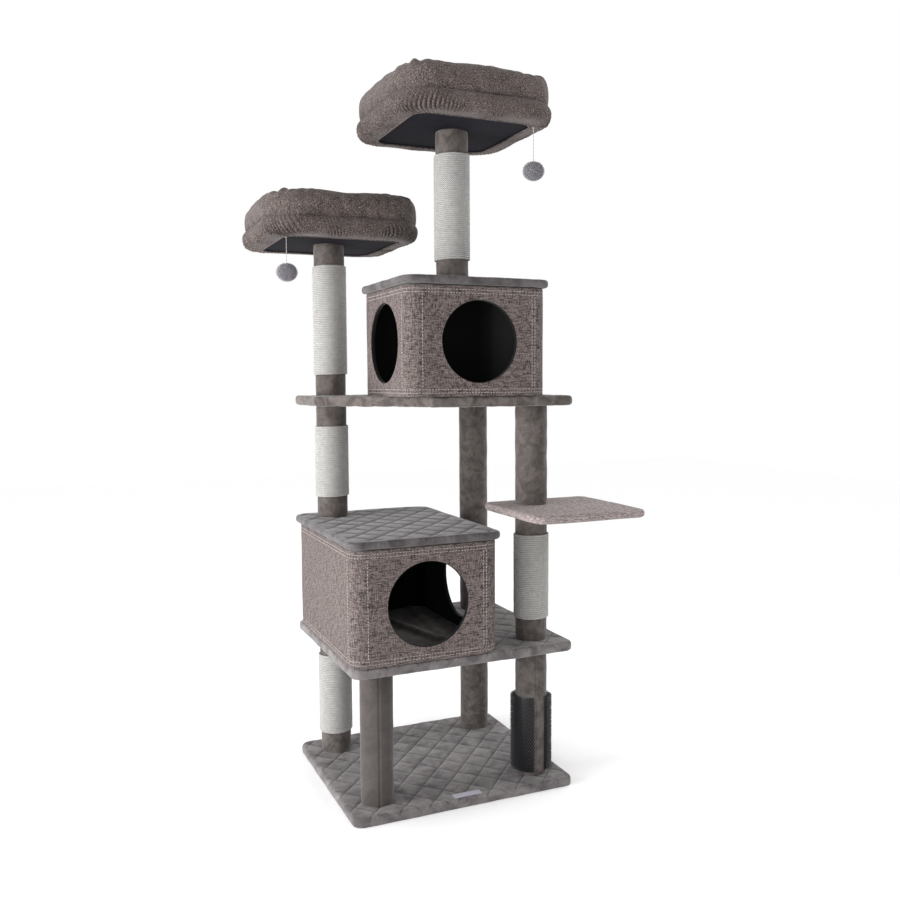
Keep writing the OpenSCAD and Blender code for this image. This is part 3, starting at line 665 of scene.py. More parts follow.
# ---------------------------------------------------------------------------------------------
# Post covers. A sleeve of unquilted velvet on thin wadding is glued round each tube and closed by
# one upright seam. The front posts' seams face the front; the others turn theirs away.
# ---------------------------------------------------------------------------------------------
SLEEVE_R, SLEEVE_T = 0.0412, 0.0035
LEFT_BED_Z, TOP_BED_Z = 1.429, 1.686
STEP_Z, STEP_TOP = 0.718, 0.738
POSTS = {
    "front_left_post": (LEFT_X, FRONT_Y, BASE_TOP, MIDDLE_Z, -100),
    "back_left_post": (LEFT_X, BACK_Y, BASE_TOP, MIDDLE_Z, 80),
    "front_right_post": (RIGHT_X, FRONT_Y, BASE_TOP, MIDDLE_Z, -100),
    "back_right_post": (RIGHT_X, BACK_Y, BASE_TOP, MIDDLE_Z, 80),
    "condo_post": (LEFT_X, BACK_Y, LOWER_LID_TOP, UPPER_Z, 95),
    "step_lower_post": (RIGHT_X, FRONT_Y, MIDDLE_TOP, STEP_Z, 70),
    "step_upper_post": (RIGHT_X, FRONT_Y, STEP_TOP, UPPER_Z, 85),
    "tall_back_post": (RIGHT_X, BACK_Y, MIDDLE_TOP, UPPER_Z, 60),
    "left_bed_post": (LEFT_X, BACK_Y, UPPER_TOP, LEFT_BED_Z, 75),
    "top_bed_post": (*TOP_POST, UPPER_LID_TOP, TOP_BED_Z, 90),
}
SEAM_DEPTH, SEAM_WIDTH = 0.0016, 0.0018
post_velvet = plush("mottled_post_velvet", "#48423f", "#635c59", 0.026, sheen=0.3)
smooth_velvet = plush("smooth_post_velvet", "#443f3d", "#504a48", 0.05, sheen=0.35)

for number, (name, (x, y, low, high, seam)) in enumerate(POSTS.items()):
    begin()
    bpy.ops.mesh.primitive_cylinder_add(vertices=104, radius=SLEEVE_R, depth=high - low,
                                        end_fill_type="NOTHING", location=(0, 0, (low + high) / 2),
                                        rotation=(0, 0, math.radians(seam)))
    sleeve = settle(name + "_velvet_cover")
    choose(sleeve, "EDGE", lambda middle, way: abs(way.z) > 0.9)
    bpy.ops.mesh.subdivide(number_cuts=int((high - low) / 0.01))
    bpy.ops.object.mode_set(mode="OBJECT")
    points, normals = mesh_points(sleeve)
    points += np.array([x, y, 0])
    outwards = (points - np.array([x, y, 0])) * np.array([1, 1, 0])
    outwards /= np.linalg.norm(outwards, axis=1)[:, None]
    turn = np.arctan2(outwards[:, 1], outwards[:, 0]) - math.radians(seam)
    off_seam = np.abs((turn + math.pi) % (2 * math.pi) - math.pi) * SLEEVE_R
    ends = np.minimum(points[:, 2] - low, high - points[:, 2])
    lift = 0.00045 * unevenness(points, 0.03, 20 + number)
    lift -= SEAM_DEPTH * np.exp(-((off_seam / SEAM_WIDTH) ** 2))
    lift += 0.0003 * np.exp(-(((off_seam - 0.005) / 0.003) ** 2)) - 0.0008 * np.exp(-((ends / 0.004) ** 2))
    move_points(sleeve, points + outwards * lift[:, None])
    apply_modifier(sleeve, "SOLIDIFY", thickness=SLEEVE_T - SEAM_DEPTH, offset=-1)
    smooth_faces(sleeve, 40)
    give_finish(sleeve, smooth_velvet if name == "front_left_post" else post_velvet)
    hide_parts(name + "_cover")
    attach(sleeve, "tree")

# ---------------------------------------------------------------------------------------------
# Sisal. Five posts are wound with three-strand sisal rope 4.8 mm thick, in level turns that
# touch, glued and stapled, with each end tucked in. Bare velvet shows for 55 mm above and below.
# ---------------------------------------------------------------------------------------------
ROPE_D, ROPE_BARE = 0.0048, 0.055
ROPE_SIDES, ROPE_STEPS = 8, 72
ROPE_STRANDS, ROPE_LAY = 3, 0.014  # each strand goes once round the rope in this length
SLEEVE_CLEAR = 0.0002
ROPE_LINE_R = SLEEVE_R + SLEEVE_CLEAR + ROPE_D / 2

# Sisal: dry pale straw bleached to grey-white, matt and hairy. Its strands slant across each turn
# every 4.7 mm, from the rope's own UV map, and loose fibres run along it. The colour is darker in
# the grooves between the strands and paler on their crests, as painted shade.
sisal, tree, shader = new_finish("bleached_sisal_rope", Roughness=0.95, Sheen_Weight=0.2)
place = add(tree, "UVMap", uv_map="wound")
parts = add(tree, "SeparateXYZ", {0: place.outputs[0]})
length = add(tree, "Math", {0: parts.outputs[0], 1: 2 * math.pi / ROPE_LAY * ROPE_STRANDS},
             operation="MULTIPLY")
strands = add(tree, "Math", {0: parts.outputs[1], 1: 2 * math.pi * ROPE_STRANDS, 2: length.outputs[0]},
              operation="MULTIPLY_ADD")
wave = add(tree, "Math", {0: strands.outputs[0]}, operation="SINE")
strand = add(tree, "MapRange", {"Value": wave.outputs[0], "From Min": -1.0})
where = add(tree, "TexCoord")
hair = add(tree, "TexNoise",
           {"Vector": where.outputs["Object"], "Scale": 480.0, "Detail": 4.0, "Roughness": 0.7})
patch = add(tree, "TexNoise", {"Vector": where.outputs["Object"], "Scale": 90.0, "Detail": 2.0})
shade = add(tree, "Mix", {0: hair.outputs["Fac"], 6: linear("#8b8987"), 7: linear("#d6d4d1")},
            data_type="RGBA")
tone = add(tree, "MapRange",
           {"Value": patch.outputs["Fac"], "From Min": 0.3, "From Max": 0.7, "To Min": 0.88, "To Max": 1.06})
# Painted shade: darker in the grooves between the strands, paler on their crests.
strand_groove_shade = add(tree, "MapRange", {"Value": strand.outputs[0], "To Min": 0.52, "To Max": 1.12})
dim = add(tree, "Math", {0: tone.outputs[0], 1: strand_groove_shade.outputs[0]}, operation="MULTIPLY")
colour = add(tree, "Mix", {0: 1.0, 6: shade.outputs[2], 7: dim.outputs[0]}, data_type="RGBA",
             blend_type="MULTIPLY")
tree.links.new(colour.outputs[2], shader.inputs["Base Color"])
coarse = add(tree, "Bump", {"Height": strand.outputs[0], "Strength": 0.6, "Distance": 0.0006})
fine = add(tree, "Bump",
           {"Height": hair.outputs["Fac"], "Strength": 0.6, "Distance": 0.0006, "Normal": coarse.outputs[0]})
tree.links.new(fine.outputs[0], shader.inputs["Normal"])

ROPES = {"back_left_rope": "back_left_post", "condo_post_rope": "condo_post",
         "step_post_rope": "step_lower_post", "left_bed_rope": "left_bed_post",
         "top_bed_rope": "top_bed_post"}
for number, (name, post) in enumerate(ROPES.items()):
    x, y, low, high, seam = POSTS[post]
    low, high = low + ROPE_BARE, high - ROPE_BARE
    turns = int((high - low - ROPE_D) / ROPE_D + 0.02)
    begin()
    bpy.ops.mesh.primitive_circle_add(vertices=ROPE_SIDES, radius=ROPE_D / 2 * 1.04,
                                      location=(ROPE_LINE_R, 0, low + ROPE_D / 2),
                                      rotation=(math.pi / 2, 0, 0))
    winding = settle(name + "_winding")
    apply_modifier(winding, "SCREW", axis="Z", angle=2 * math.pi, screw_offset=(high - low - ROPE_D) / turns,
                   iterations=turns, steps=ROPE_STEPS, render_steps=ROPE_STEPS, use_smooth_shade=True)
    points, normals = mesh_points(winding)
    step = np.arange(len(points)) // ROPE_SIDES
    from_end = np.minimum(step, step.max() - step) / ROPE_STEPS
    spoke = points * np.array([1, 1, 0]) / np.linalg.norm(points[:, :2], axis=1)[:, None]
    tuck = -0.0036 * np.exp(-((from_end / 0.035) ** 2))
    wander = 0.00028 * unevenness(points * np.array([1, 1, 6]), 0.012, 40 + number)
    points = points + spoke * (tuck + wander)[:, None]
    points[:, 2] += 0.0002 * unevenness(points * np.array([1, 1, 5]), 0.02, 60 + number)
    turned = math.radians(seam)
    points = points @ np.array(Matrix.Rotation(-turned, 3, "Z")) + np.array([x, y, 0])
    move_points(winding, points)
    rows = winding.data.uv_layers.new(name="wound")
    corner = np.empty(len(winding.data.loops), dtype=int)
    winding.data.loops.foreach_get("vertex_index", corner)
    ring = (corner % ROPE_SIDES).reshape(-1, 4)
    wraps = (ring.max(axis=1) == ROPE_SIDES - 1) & (ring.min(axis=1) == 0)
    ring = np.where(wraps[:, None] & (ring == 0), ROPE_SIDES, ring)
    along = corner // ROPE_SIDES / ROPE_STEPS * 2 * math.pi * ROPE_LINE_R
    rows.data.foreach_set("uv", np.c_[along, ring.ravel() / ROPE_SIDES].ravel())
    choose(winding, "EDGE", lambda middle, way: False)
    bpy.ops.mesh.select_all(action="SELECT")
    bpy.ops.mesh.fill_holes(sides=ROPE_SIDES)
    bpy.ops.mesh.select_all(action="SELECT")
    bpy.ops.mesh.normals_make_consistent(inside=False)
    bpy.ops.object.mode_set(mode="OBJECT")
    give_finish(winding, sisal)
    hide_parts(name)
    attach(winding, "tree")

# ---------------------------------------------------------------------------------------------
# Grooming brush. A black moulded sheet 200 mm high is bent round the front-right post, with a
# bare strip where its edges stop short, and stiff round-tipped bristles stand all over it.
# ---------------------------------------------------------------------------------------------
BRUSH_LOW, BRUSH_H = 0.032, 0.2
BRUSH_BACK, BRUSH_TIPS = 0.0014, 0.0548
BRUSH_GAP, BRUSH_FACING = 44, -85
BRISTLE_ROWS, BRISTLE_COLUMNS = 37, 43
BRISTLE_FOOT_R, BRISTLE_TIP_R = 0.0013, 0.0009
BARE_SIDE, BARE_END = 3, 0.004  # no bristles this near the sheet's sides, in degrees, and its ends

# Moulded polypropylene: near-black and softly glossy, with a faint moulding grain. The bristles
# are the same plastic, coloured greyer as a painted highlight for the glint on their tips.
brush_finishes = []
for name, dark, light in [("black_moulded_polypropylene", "#0e0e10", "#1a1a1c"),
                          # The bristles' paler colour is a painted highlight.
                          ("glint_painted_bristle_plastic", "#2b2b2e", "#48484b")]:
    brush_plastic, tree, shader = new_finish(name, Roughness=0.42)
    place = add(tree, "TexCoord")
    tone = add(tree, "TexNoise", {"Vector": place.outputs["Object"], "Scale": 260.0, "Detail": 3.0})
    shade = add(tree, "Mix", {0: tone.outputs["Fac"], 6: linear(dark), 7: linear(light)}, data_type="RGBA")
    tree.links.new(shade.outputs[2], shader.inputs["Base Color"])
    ridge = add(tree, "Bump", {"Height": tone.outputs["Fac"], "Strength": 0.2, "Distance": 0.0003})
    tree.links.new(ridge.outputs[0], shader.inputs["Normal"])
    brush_finishes.append(brush_plastic)

begin()
bpy.ops.mesh.primitive_cylinder_add(vertices=180, radius=SLEEVE_R + SLEEVE_CLEAR + BRUSH_BACK,
                                    depth=BRUSH_H, end_fill_type="NOTHING",
                                    location=(RIGHT_X, FRONT_Y, BRUSH_LOW + BRUSH_H / 2),
                                    rotation=(0, 0, math.radians(BRUSH_FACING)))
brush_sheet = settle("grooming_brush_sheet")
facing = Vector((math.cos(math.radians(BRUSH_FACING)), math.sin(math.radians(BRUSH_FACING)), 0))
choose(brush_sheet, "FACE", lambda middle, normal: normal.dot(facing) > math.cos(math.radians(BRUSH_GAP / 2)))
bpy.ops.mesh.delete(type="FACE")
bpy.ops.object.mode_set(mode="OBJECT")
apply_modifier(brush_sheet, "SOLIDIFY", thickness=BRUSH_BACK, offset=-1)
apply_modifier(brush_sheet, "BEVEL", width=0.0004, segments=2, limit_method="ANGLE")
smooth_faces(brush_sheet, 35)

bristle_l = BRUSH_TIPS - SLEEVE_R - BRUSH_BACK
begin()
bpy.ops.mesh.primitive_cone_add(vertices=6, radius1=BRISTLE_FOOT_R, radius2=BRISTLE_TIP_R,
                                depth=bristle_l, location=(bristle_l / 2, 0, 0), rotation=(0, math.pi / 2, 0))
bristle = settle("bristle")
choose(bristle, "FACE", lambda middle, normal: normal.x > 0.9)
bpy.ops.mesh.inset(thickness=0.0004, depth=0.0005)
bpy.ops.object.mode_set(mode="OBJECT")
covered = np.linspace(0, 360 - BRUSH_GAP - 2 * BARE_SIDE, BRISTLE_COLUMNS)
spread = np.radians(BRUSH_FACING + BRUSH_GAP / 2 + BARE_SIDE + covered)
levels = BRUSH_LOW + BARE_END + np.linspace(0, BRUSH_H - 2 * BARE_END, BRISTLE_ROWS)
turn, level = (v.ravel() for v in np.meshgrid(spread, levels))
turn = turn + np.repeat(np.arange(BRISTLE_ROWS) % 2, BRISTLE_COLUMNS) * (spread[1] - spread[0]) * 0.45 - 0.02
out = np.c_[np.cos(turn), np.sin(turn), 0 * turn]
bend = out + np.random.default_rng(9).normal(scale=0.035, size=out.shape)
root = out * (SLEEVE_R + BRUSH_BACK * 0.8) + np.c_[0 * turn + RIGHT_X, 0 * turn + FRONT_Y, level]
upwards = np.tile([0.0, 0.0, 1.0], (len(turn), 1))
bristles = scattered("grooming_brush_bristles", bristle, frames(root, bend, upwards))
for piece, finish in zip((brush_sheet, bristles), brush_finishes):
    give_finish(piece, finish)
    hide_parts("grooming_brush")
    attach(piece, "tree")

# ---------------------------------------------------------------------------------------------
# Condo panels, corner foam and lining. Stiff card panels and foam corners stand inside the linen
# walls, and black felt lines them and is turned out through the doorways' cut edges.
# ---------------------------------------------------------------------------------------------
WALL_R, CLOTH_T, WALL_T = 0.038, 0.002, 0.009
DOOR_BAND = 0.0012
# Each condo: its front-left corner, its width and depth, its walls' height, its doorways' diameter,
# the middle of its side doorway and the side that is in.
CONDOS = {
    "lower_condo": ((-0.3, -0.2625, MIDDLE_TOP), (0.384, 0.502), 0.281, 0.21, (0.084, -0.0275), 1),
    "upper_condo": ((-0.157, -0.2625, UPPER_TOP), (0.376, 0.332), 0.264, 0.2, (-0.157, -0.0965), -1),
}

# Pressed card: dark grey-brown board with short fibres, matt.
pressed_card, tree, shader = new_finish("pressed_grey_card", Roughness=0.85)
place = add(tree, "TexCoord")
fibre = add(tree, "TexNoise", {"Vector": place.outputs["Object"], "Scale": 350.0, "Detail": 5.0})
shade = add(tree, "Mix", {0: fibre.outputs["Fac"], 6: linear("#2a2725"), 7: linear("#3b3734")},
            data_type="RGBA")
tree.links.new(shade.outputs[2], shader.inputs["Base Color"])
ridge = add(tree, "Bump", {"Height": fibre.outputs["Fac"], "Strength": 0.2, "Distance": 0.0003})
tree.links.new(ridge.outputs[0], shader.inputs["Normal"])

# Polyurethane foam: dark grey, with open cells 1.5 mm across.
open_foam, tree, shader = new_finish("open_cell_foam", Roughness=0.95)
place = add(tree, "TexCoord")
cells = add(tree, "TexVoronoi", {"Vector": place.outputs["Object"], "Scale": 650.0})
shade = add(tree, "Mix", {0: cells.outputs["Distance"], 6: linear("#2b2b2d"), 7: linear("#58585b")},
            data_type="RGBA")
tree.links.new(shade.outputs[2], shader.inputs["Base Color"])
ridge = add(tree, "Bump", {"Height": cells.outputs["Distance"], "Strength": 0.6, "Distance": 0.0008})
tree.links.new(ridge.outputs[0], shader.inputs["Normal"])

# Needle felt: black, matt and lint-soft, with tangled fibres 2 mm long.
black_felt, tree, shader = new_finish("black_needle_felt", Roughness=0.97, Sheen_Weight=0.08)
shader.inputs["Specular IOR Level"].default_value = 0.1
place = add(tree, "TexCoord")
fibre = add(tree, "TexNoise",
            {"Vector": place.outputs["Object"], "Scale": 420.0, "Detail": 5.0, "Distortion": 1.0})
shade = add(tree, "Mix", {0: fibre.outputs["Fac"], 6: linear("#0a0a0b"), 7: linear("#1a1a1c")},
            data_type="RGBA")
tree.links.new(shade.outputs[2], shader.inputs["Base Color"])
ridge = add(tree, "Bump", {"Height": fibre.outputs["Fac"], "Strength": 0.4, "Distance": 0.0006})
tree.links.new(ridge.outputs[0], shader.inputs["Normal"])

for condo in CONDOS:
    for side in ("front", "back", "left", "right"):
        finish_node(f"{condo}_{side}_panel", pressed_card)
    finish_node(condo + "_corner_foam", open_foam)
    finish_node(condo + "_lining", black_felt)


def doorway_pin(name, condo, which, radius, low, high, sides=128, hole=None):
    """A level cylinder through a condo's front or side doorway, from low to high metres inside the
    wall's outer face; with a hole in it, it is the band that lines the doorway."""
    (x0, y0, z0), (w, d), h, door, side, way = CONDOS[condo]
    middle = Vector((x0 + w / 2, y0, z0 + h / 2)) if which == "front" else Vector((*side, z0 + h / 2))
    inwards = Vector((0, 1, 0)) if which == "front" else Vector((-way, 0, 0))
    turn = inwards.to_track_quat("Z", "Y").to_euler()
    begin()
    bpy.ops.mesh.primitive_cylinder_add(vertices=sides, radius=radius, depth=high - low, rotation=turn,
                                        end_fill_type="NOTHING" if hole else "NGON",
                                        location=middle + inwards * (low + high) / 2)
    pin = settle(name)
    if hole:
        apply_modifier(pin, "SOLIDIFY", thickness=radius - hole, offset=-1)
        apply_modifier(pin, "BEVEL", width=0.0005, segments=2, limit_method="ANGLE")
        smooth_faces(pin, 50)
    return pin


for condo, (corner, size, h, door, side, way) in CONDOS.items():
    bands = [doorway_pin("band", condo, which, door / 2 - 0.0002, 0.0008, WALL_T + 0.001,
                         hole=door / 2 - DOOR_BAND) for which in ("front", "side")]
    band = joined(condo + "_doorway_felt", bands)
    give_finish(band, black_felt)
    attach(band, "tree")

# ---------------------------------------------------------------------------------------------
# Condo walls. Linen 2 mm thick with its backing goes round the panels as one sleeve, stitched in
# double rows along its top and bottom edges, up both ends of the front-left bend and at the right.
# ---------------------------------------------------------------------------------------------
STITCH_PITCH, STITCH_L = 0.008, 0.0056
ROWS_IN = (0.009, 0.017)
ROWS_APART = 0.008


def around(distance, w, d, r):
    """Points and outward directions at each distance round a rectangle w by d with corners of
    radius r, centred on the origin, from the middle of its back and on to its left; and its length."""
    cx, cy = w / 2 - r, d / 2 - r
    stops = [(0.0, d / 2, 90.0)]
    for x, y, start in [(-cx, cy, 90), (-cx, -cy, 180), (cx, -cy, 270), (cx, cy, 360)]:
        for k in range(49):
            a = start + k * 90 / 48
            stops.append((x + r * math.cos(math.radians(a)), y + r * math.sin(math.radians(a)), a))
    stops = np.array(stops + [(0.0, d / 2, 450.0)])
    far = np.r_[0, np.cumsum(np.linalg.norm(np.diff(stops[:, :2], axis=0), axis=1))]
    x, y, a = (np.interp(distance, far, stops[:, k]) for k in range(3))
    a = np.radians(a)
    return np.c_[x, y], np.c_[np.cos(a), np.sin(a)], far[-1]


def close_up(piece, nearer):
    """Merges points that are nearer than this to each other, and turns the faces outwards."""
    work_on(piece)
    bpy.ops.object.mode_set(mode="EDIT")
    bpy.ops.mesh.select_all(action="SELECT")
    bpy.ops.mesh.remove_doubles(threshold=nearer)
    bpy.ops.mesh.normals_make_consistent(inside=False)
    bpy.ops.object.mode_set(mode="OBJECT")


# Stitching thread: off-white polyester, twisted, with a slight gloss.
seam_thread, tree, shader = new_finish("polyester_seam_thread", Roughness=0.6)
place = add(tree, "TexCoord")
twist = add(tree, "TexNoise", {"Vector": place.outputs["Object"], "Scale": 900.0, "Detail": 2.0})
shade = add(tree, "Mix", {0: twist.outputs["Fac"], 6: linear("#a8a19d"), 7: linear("#d9d4cf")},
            data_type="RGBA")
tree.links.new(shade.outputs[2], shader.inputs["Base Color"])
ridge = add(tree, "Bump", {"Height": twist.outputs["Fac"], "Strength": 0.3, "Distance": 0.0003})
tree.links.new(ridge.outputs[0], shader.inputs["Normal"])


def one_stitch(length=STITCH_L, width=0.0011):
    """One stitch lying along X, a thin bead with pointed ends."""
    begin()
    bpy.ops.mesh.primitive_uv_sphere_add(segments=6, ring_count=5, radius=0.5, rotation=(0, math.pi / 2, 0))
    stitch = settle("stitch")
    stitch.data.transform(Matrix.Diagonal((length, width, width * 0.8, 1)))
    return stitch


for number, (condo, (corner, (w, d), h, door, side, way)) in enumerate(CONDOS.items()):
    middle = np.array([corner[0] + w / 2, corner[1] + d / 2])
    girth = around([0.0], w, d, WALL_R)[2]
    levels = np.r_[0, 0.0025, 0.006, 0.009, 0.013, 0.017, 0.021, np.linspace(0.029, h - 0.029, 27),
                   h - 0.021, h - 0.017, h - 0.013, h - 0.009, h - 0.006, h - 0.0025, h]
    columns = int(girth / 0.006)
    begin()
    bpy.ops.mesh.primitive_grid_add(x_subdivisions=columns, y_subdivisions=len(levels) - 1, size=1)
    cloth = settle(condo + "_linen_walls")
    points, normals = mesh_points(cloth)
    row = np.round((points[:, 1] + 0.5) * (len(levels) - 1)).astype(int)
    on, out, girth = around((points[:, 0] + 0.5) * girth, w, d, WALL_R)
    z = levels[row]
    flat = np.c_[on + middle, z + corner[2]]
    free = np.clip(np.minimum(z, h - z) / 0.05, 0, 1)
    lift = -0.0007 * free * (1 + unevenness(flat, 0.11, 80 + number)) / 2
    for inset in ROWS_IN:
        lift -= 0.0006 * np.exp(-((np.minimum(z, h - z) - inset) / 0.0028) ** 2)
    lift -= 0.0010 * np.exp(-(np.minimum(z, h - z) / 0.002) ** 2)
    move_points(cloth, flat + np.c_[out * lift[:, None], 0 * z])
    close_up(cloth, 0.0002)
    apply_modifier(cloth, "SOLIDIFY", thickness=CLOTH_T - 0.0008, offset=-1)
    for which in ("front", "side"):
        cut_away(cloth, doorway_pin("doorway", condo, which, door / 2, -0.02, 0.03, 160))
    smooth_faces(cloth, 40)
    give_finish(cloth, wall_linen)
    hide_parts(condo + "_cloth")
    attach(cloth, "tree")

    # Stitches: rows round the walls, and upright rows, all proud of the cloth by half their width.
    count = int(girth / STITCH_PITCH)
    on, out, girth = around((np.arange(count) + 0.5) * girth / count, w, d, WALL_R)
    level, upright = [], []
    for inset in ROWS_IN:
        for z in (inset, h - inset):
            level.append(np.c_[on + middle - out * 0.0003, np.full(count, corner[2] + z)])
    origins = np.concatenate(level)
    outs = np.tile(np.c_[out, np.zeros(count)], (len(level), 1))
    alongs = np.c_[-outs[:, 1], outs[:, 0], np.zeros(len(outs))]
    rise = np.arange(ROWS_IN[1] + STITCH_PITCH, h - ROWS_IN[1] - STITCH_PITCH / 2, STITCH_PITCH)
    for x, y, ox, oy in [(corner[0] + WALL_R, corner[1], 0, -1), (corner[0], corner[1] + WALL_R, -1, 0),
                         (corner[0] + w - WALL_R, corner[1], 0, -1),
                         (corner[0] + w - WALL_R - ROWS_APART, corner[1], 0, -1)]:
        upright.append(np.c_[np.full(len(rise), x), np.full(len(rise), y), corner[2] + rise])
        outs = np.concatenate([outs, np.tile([ox, oy, 0.0], (len(rise), 1))])
        alongs = np.concatenate([alongs, np.tile([0.0, 0.0, 1.0], (len(rise), 1))])
    origins = np.concatenate([origins, *upright])
    sewn = scattered(condo + "_stitching", one_stitch(), frames(origins, alongs, outs))
    give_finish(sewn, seam_thread)
    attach(sewn, "tree")

# ---------------------------------------------------------------------------------------------
# Floor mat. A loose dark velvet mat lies in the lower condo, a little too big for it, so it lies
# in a few soft folds.
# ---------------------------------------------------------------------------------------------
MAT_W, MAT_D, MAT_T = 0.36, 0.476, 0.005
MAT_X, MAT_Y = -0.108, -0.0115
# Each fold: how far right of the mat's middle it crosses, its slant, its height and its half width.
MAT_FOLDS = [(-0.05, 0.35, 0.010, 0.013), (0.055, -0.25, 0.011, 0.015), (0.115, 0.1, 0.006, 0.012)]
dark_velvet = plush("dark_mat_velvet", "#332d2b", "#544c48", 0.03, sheen=0.25)
begin()
bpy.ops.mesh.primitive_grid_add(x_subdivisions=72, y_subdivisions=94, size=1,
                                location=(MAT_X, MAT_Y, MIDDLE_TOP + 0.0015))
bpy.ops.transform.resize(value=(MAT_W, MAT_D, 1))
mat = settle("lower_condo_folded_mat")
points, normals = mesh_points(mat)
across = points[:, 0] - MAT_X
for right, slant, tall, wide in MAT_FOLDS:
    off_fold = across - right - slant * (points[:, 1] - MAT_Y)
    ripple = 0.75 + 0.25 * unevenness(points * np.array([1, 1, 0]), 0.15, 90)
    points[:, 2] += tall * np.exp(-((off_fold / wide) ** 2)) * ripple
points[:, 2] += 0.0008 * (1 + unevenness(points, 0.05, 91))
move_points(mat, points)
apply_modifier(mat, "SOLIDIFY", thickness=MAT_T, offset=1)
smooth_faces(mat)
give_finish(mat, dark_velvet)
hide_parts("lower_condo_mat")
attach(mat, "tree")

# ---------------------------------------------------------------------------------------------
# Bed boards. Each bed's board is 12 mm thick, faced below with charcoal non-woven cloth; its
# corners are round. It is bolted to its post under the seat pad.
# ---------------------------------------------------------------------------------------------
# Non-woven polypropylene: charcoal, matt, with a fine embossed dot pattern every 2.5 mm.
bed_facing, tree, shader = new_finish("charcoal_nonwoven_facing", Roughness=0.9, Specular_IOR_Level=0.1)
place = add(tree, "TexCoord")
dots = add(tree, "TexVoronoi", {"Vector": place.outputs["Object"], "Scale": 400.0, "Randomness": 0.25})
tone = add(tree, "TexNoise", {"Vector": place.outputs["Object"], "Scale": 35.0, "Detail": 5.0})
shade = add(tree, "Mix", {0: tone.outputs["Fac"], 6: linear("#121116"), 7: linear("#201e25")},
            data_type="RGBA")
tree.links.new(shade.outputs[2], shader.inputs["Base Color"])
ridge = add(tree, "Bump", {"Height": dots.outputs["Distance"], "Strength": 0.35, "Distance": 0.0005})
tree.links.new(ridge.outputs[0], shader.inputs["Normal"])
for bed in ("left_bed", "top_bed"):
    finish_node(bed + "_board", bed_facing)

# ---------------------------------------------------------------------------------------------
# Bed rolls. A thick bolster of fibre in heathered fleece runs round the board, 84 mm wide and
# 108 mm tall. It is sewn as one tube that is too full, so it puckers and swells between its seams.
# ---------------------------------------------------------------------------------------------
BEDS = {"left_bed": (LEFT_X, BACK_Y, LEFT_BED_Z), "top_bed": (*TOP_POST, TOP_BED_Z)}
BOARD_HALF, ROLL_OUT, ROLL_W, BED_H = 0.165, 0.04, 0.084, 0.12
ROLL_FOOT = 0.0126
ROLL_LINE = 2 * (BOARD_HALF + ROLL_OUT - ROLL_W / 2)
ROLL_TURN = 0.048
ROLL_STEPS, ROLL_SIDES = 224, 60
SWELL_ROOM, SWELL_MOST = 0.006, 0.011
CREASE_Z = 0.040


def tube_of(name, steps, sides, w, r, section):
    """A closed tube round a square w wide with corners of radius r; section turns its own turn,
    0 to 1, into how far out and how high a point is."""
    begin()
    bpy.ops.mesh.primitive_grid_add(x_subdivisions=steps, y_subdivisions=sides, size=1)
    piece = settle(name)
    points, normals = mesh_points(piece)
    girth = around([0.0], w, w, r)[2]
    on, out, girth = around((points[:, 0] + 0.5) * girth, w, w, r)
    off, high = section(points[:, 1] + 0.5)
    move_points(piece, np.c_[on + out * off[:, None], high])
    close_up(piece, 0.0001)
    return piece


def swollen(piece, most, pressure=4.0, slack=0.0, held=None, frames_run=20):
    """Blows a closed cloth shape up a little and lets it wrinkle, then keeps the result; no point
    moves further than most. held is a list of the points that the seams hold still."""
    before, normals = mesh_points(piece)
    if held is not None:
        group = piece.vertex_groups.new(name="sewn")
        group.add([int(v) for v in held], 1.0, "REPLACE")
    work_on(piece)
    bpy.ops.object.modifier_add(type="CLOTH")
    cloth = piece.modifiers[-1]
    cloth.settings.quality = 5
    cloth.settings.mass = 0.25
    cloth.settings.tension_stiffness = 12
    cloth.settings.compression_stiffness = 12
    cloth.settings.shear_stiffness = 5
    cloth.settings.bending_stiffness = 0.35
    cloth.settings.use_pressure = True
    cloth.settings.uniform_pressure_force = pressure
    cloth.settings.effector_weights.gravity = 0
    cloth.settings.shrink_min = -slack
    if held is not None:
        cloth.settings.vertex_group_mass = "sewn"
    cloth.point_cache.frame_start, cloth.point_cache.frame_end = 1, frames_run
    scene = bpy.context.scene
    for number in range(1, frames_run + 1):
        scene.frame_set(number)
    bpy.ops.object.modifier_apply(modifier=cloth.name)
    scene.frame_set(1)
    after, normals = mesh_points(piece)
    move = after - before
    far = np.linalg.norm(move, axis=1)
    limit = most * np.tanh(far / most) / np.maximum(far, 1e-9)
    move_points(piece, before + move * limit[:, None])


def paint_fold_shade(piece, depth):
    """Stores how deep in a fold each point of a piece is, 0 to 1, for its material to paint shade there."""
    piece.data.attributes.new("tuck", "FLOAT", "POINT").data.foreach_set("value", np.clip(depth, 0, 1))


def bolster_section(turn):
    """The bolster's section before it swells: an upright rounded box, from its inner foot round."""
    a = turn * 2 * math.pi - math.pi / 2
    wide, tall = ROLL_W / 2 - SWELL_ROOM, (BED_H - ROLL_FOOT) / 2 - SWELL_ROOM
    c, s = np.cos(a), np.sin(a)
    foot = np.where((s < 0) & (c > 0), 0.5, 0.72)
    height = (BED_H + ROLL_FOOT) / 2 + tall * np.sign(s) * np.abs(s) ** foot
    return wide * np.sign(c) * np.abs(c) ** foot, height


bolster = tube_of("left_bed_bolster", ROLL_STEPS, ROLL_SIDES, ROLL_LINE, ROLL_TURN, bolster_section)
points, normals = mesh_points(bolster)
lump = 0.0020 * unevenness(points, 0.08, 101) + 0.0008 * unevenness(points, 0.03, 102)
move_points(bolster, points + normals * lump[:, None])
low_points = np.nonzero(points[:, 2] < ROLL_FOOT + 0.012)[0]
swollen(bolster, SWELL_MOST, pressure=3.5, slack=0.035, held=low_points)

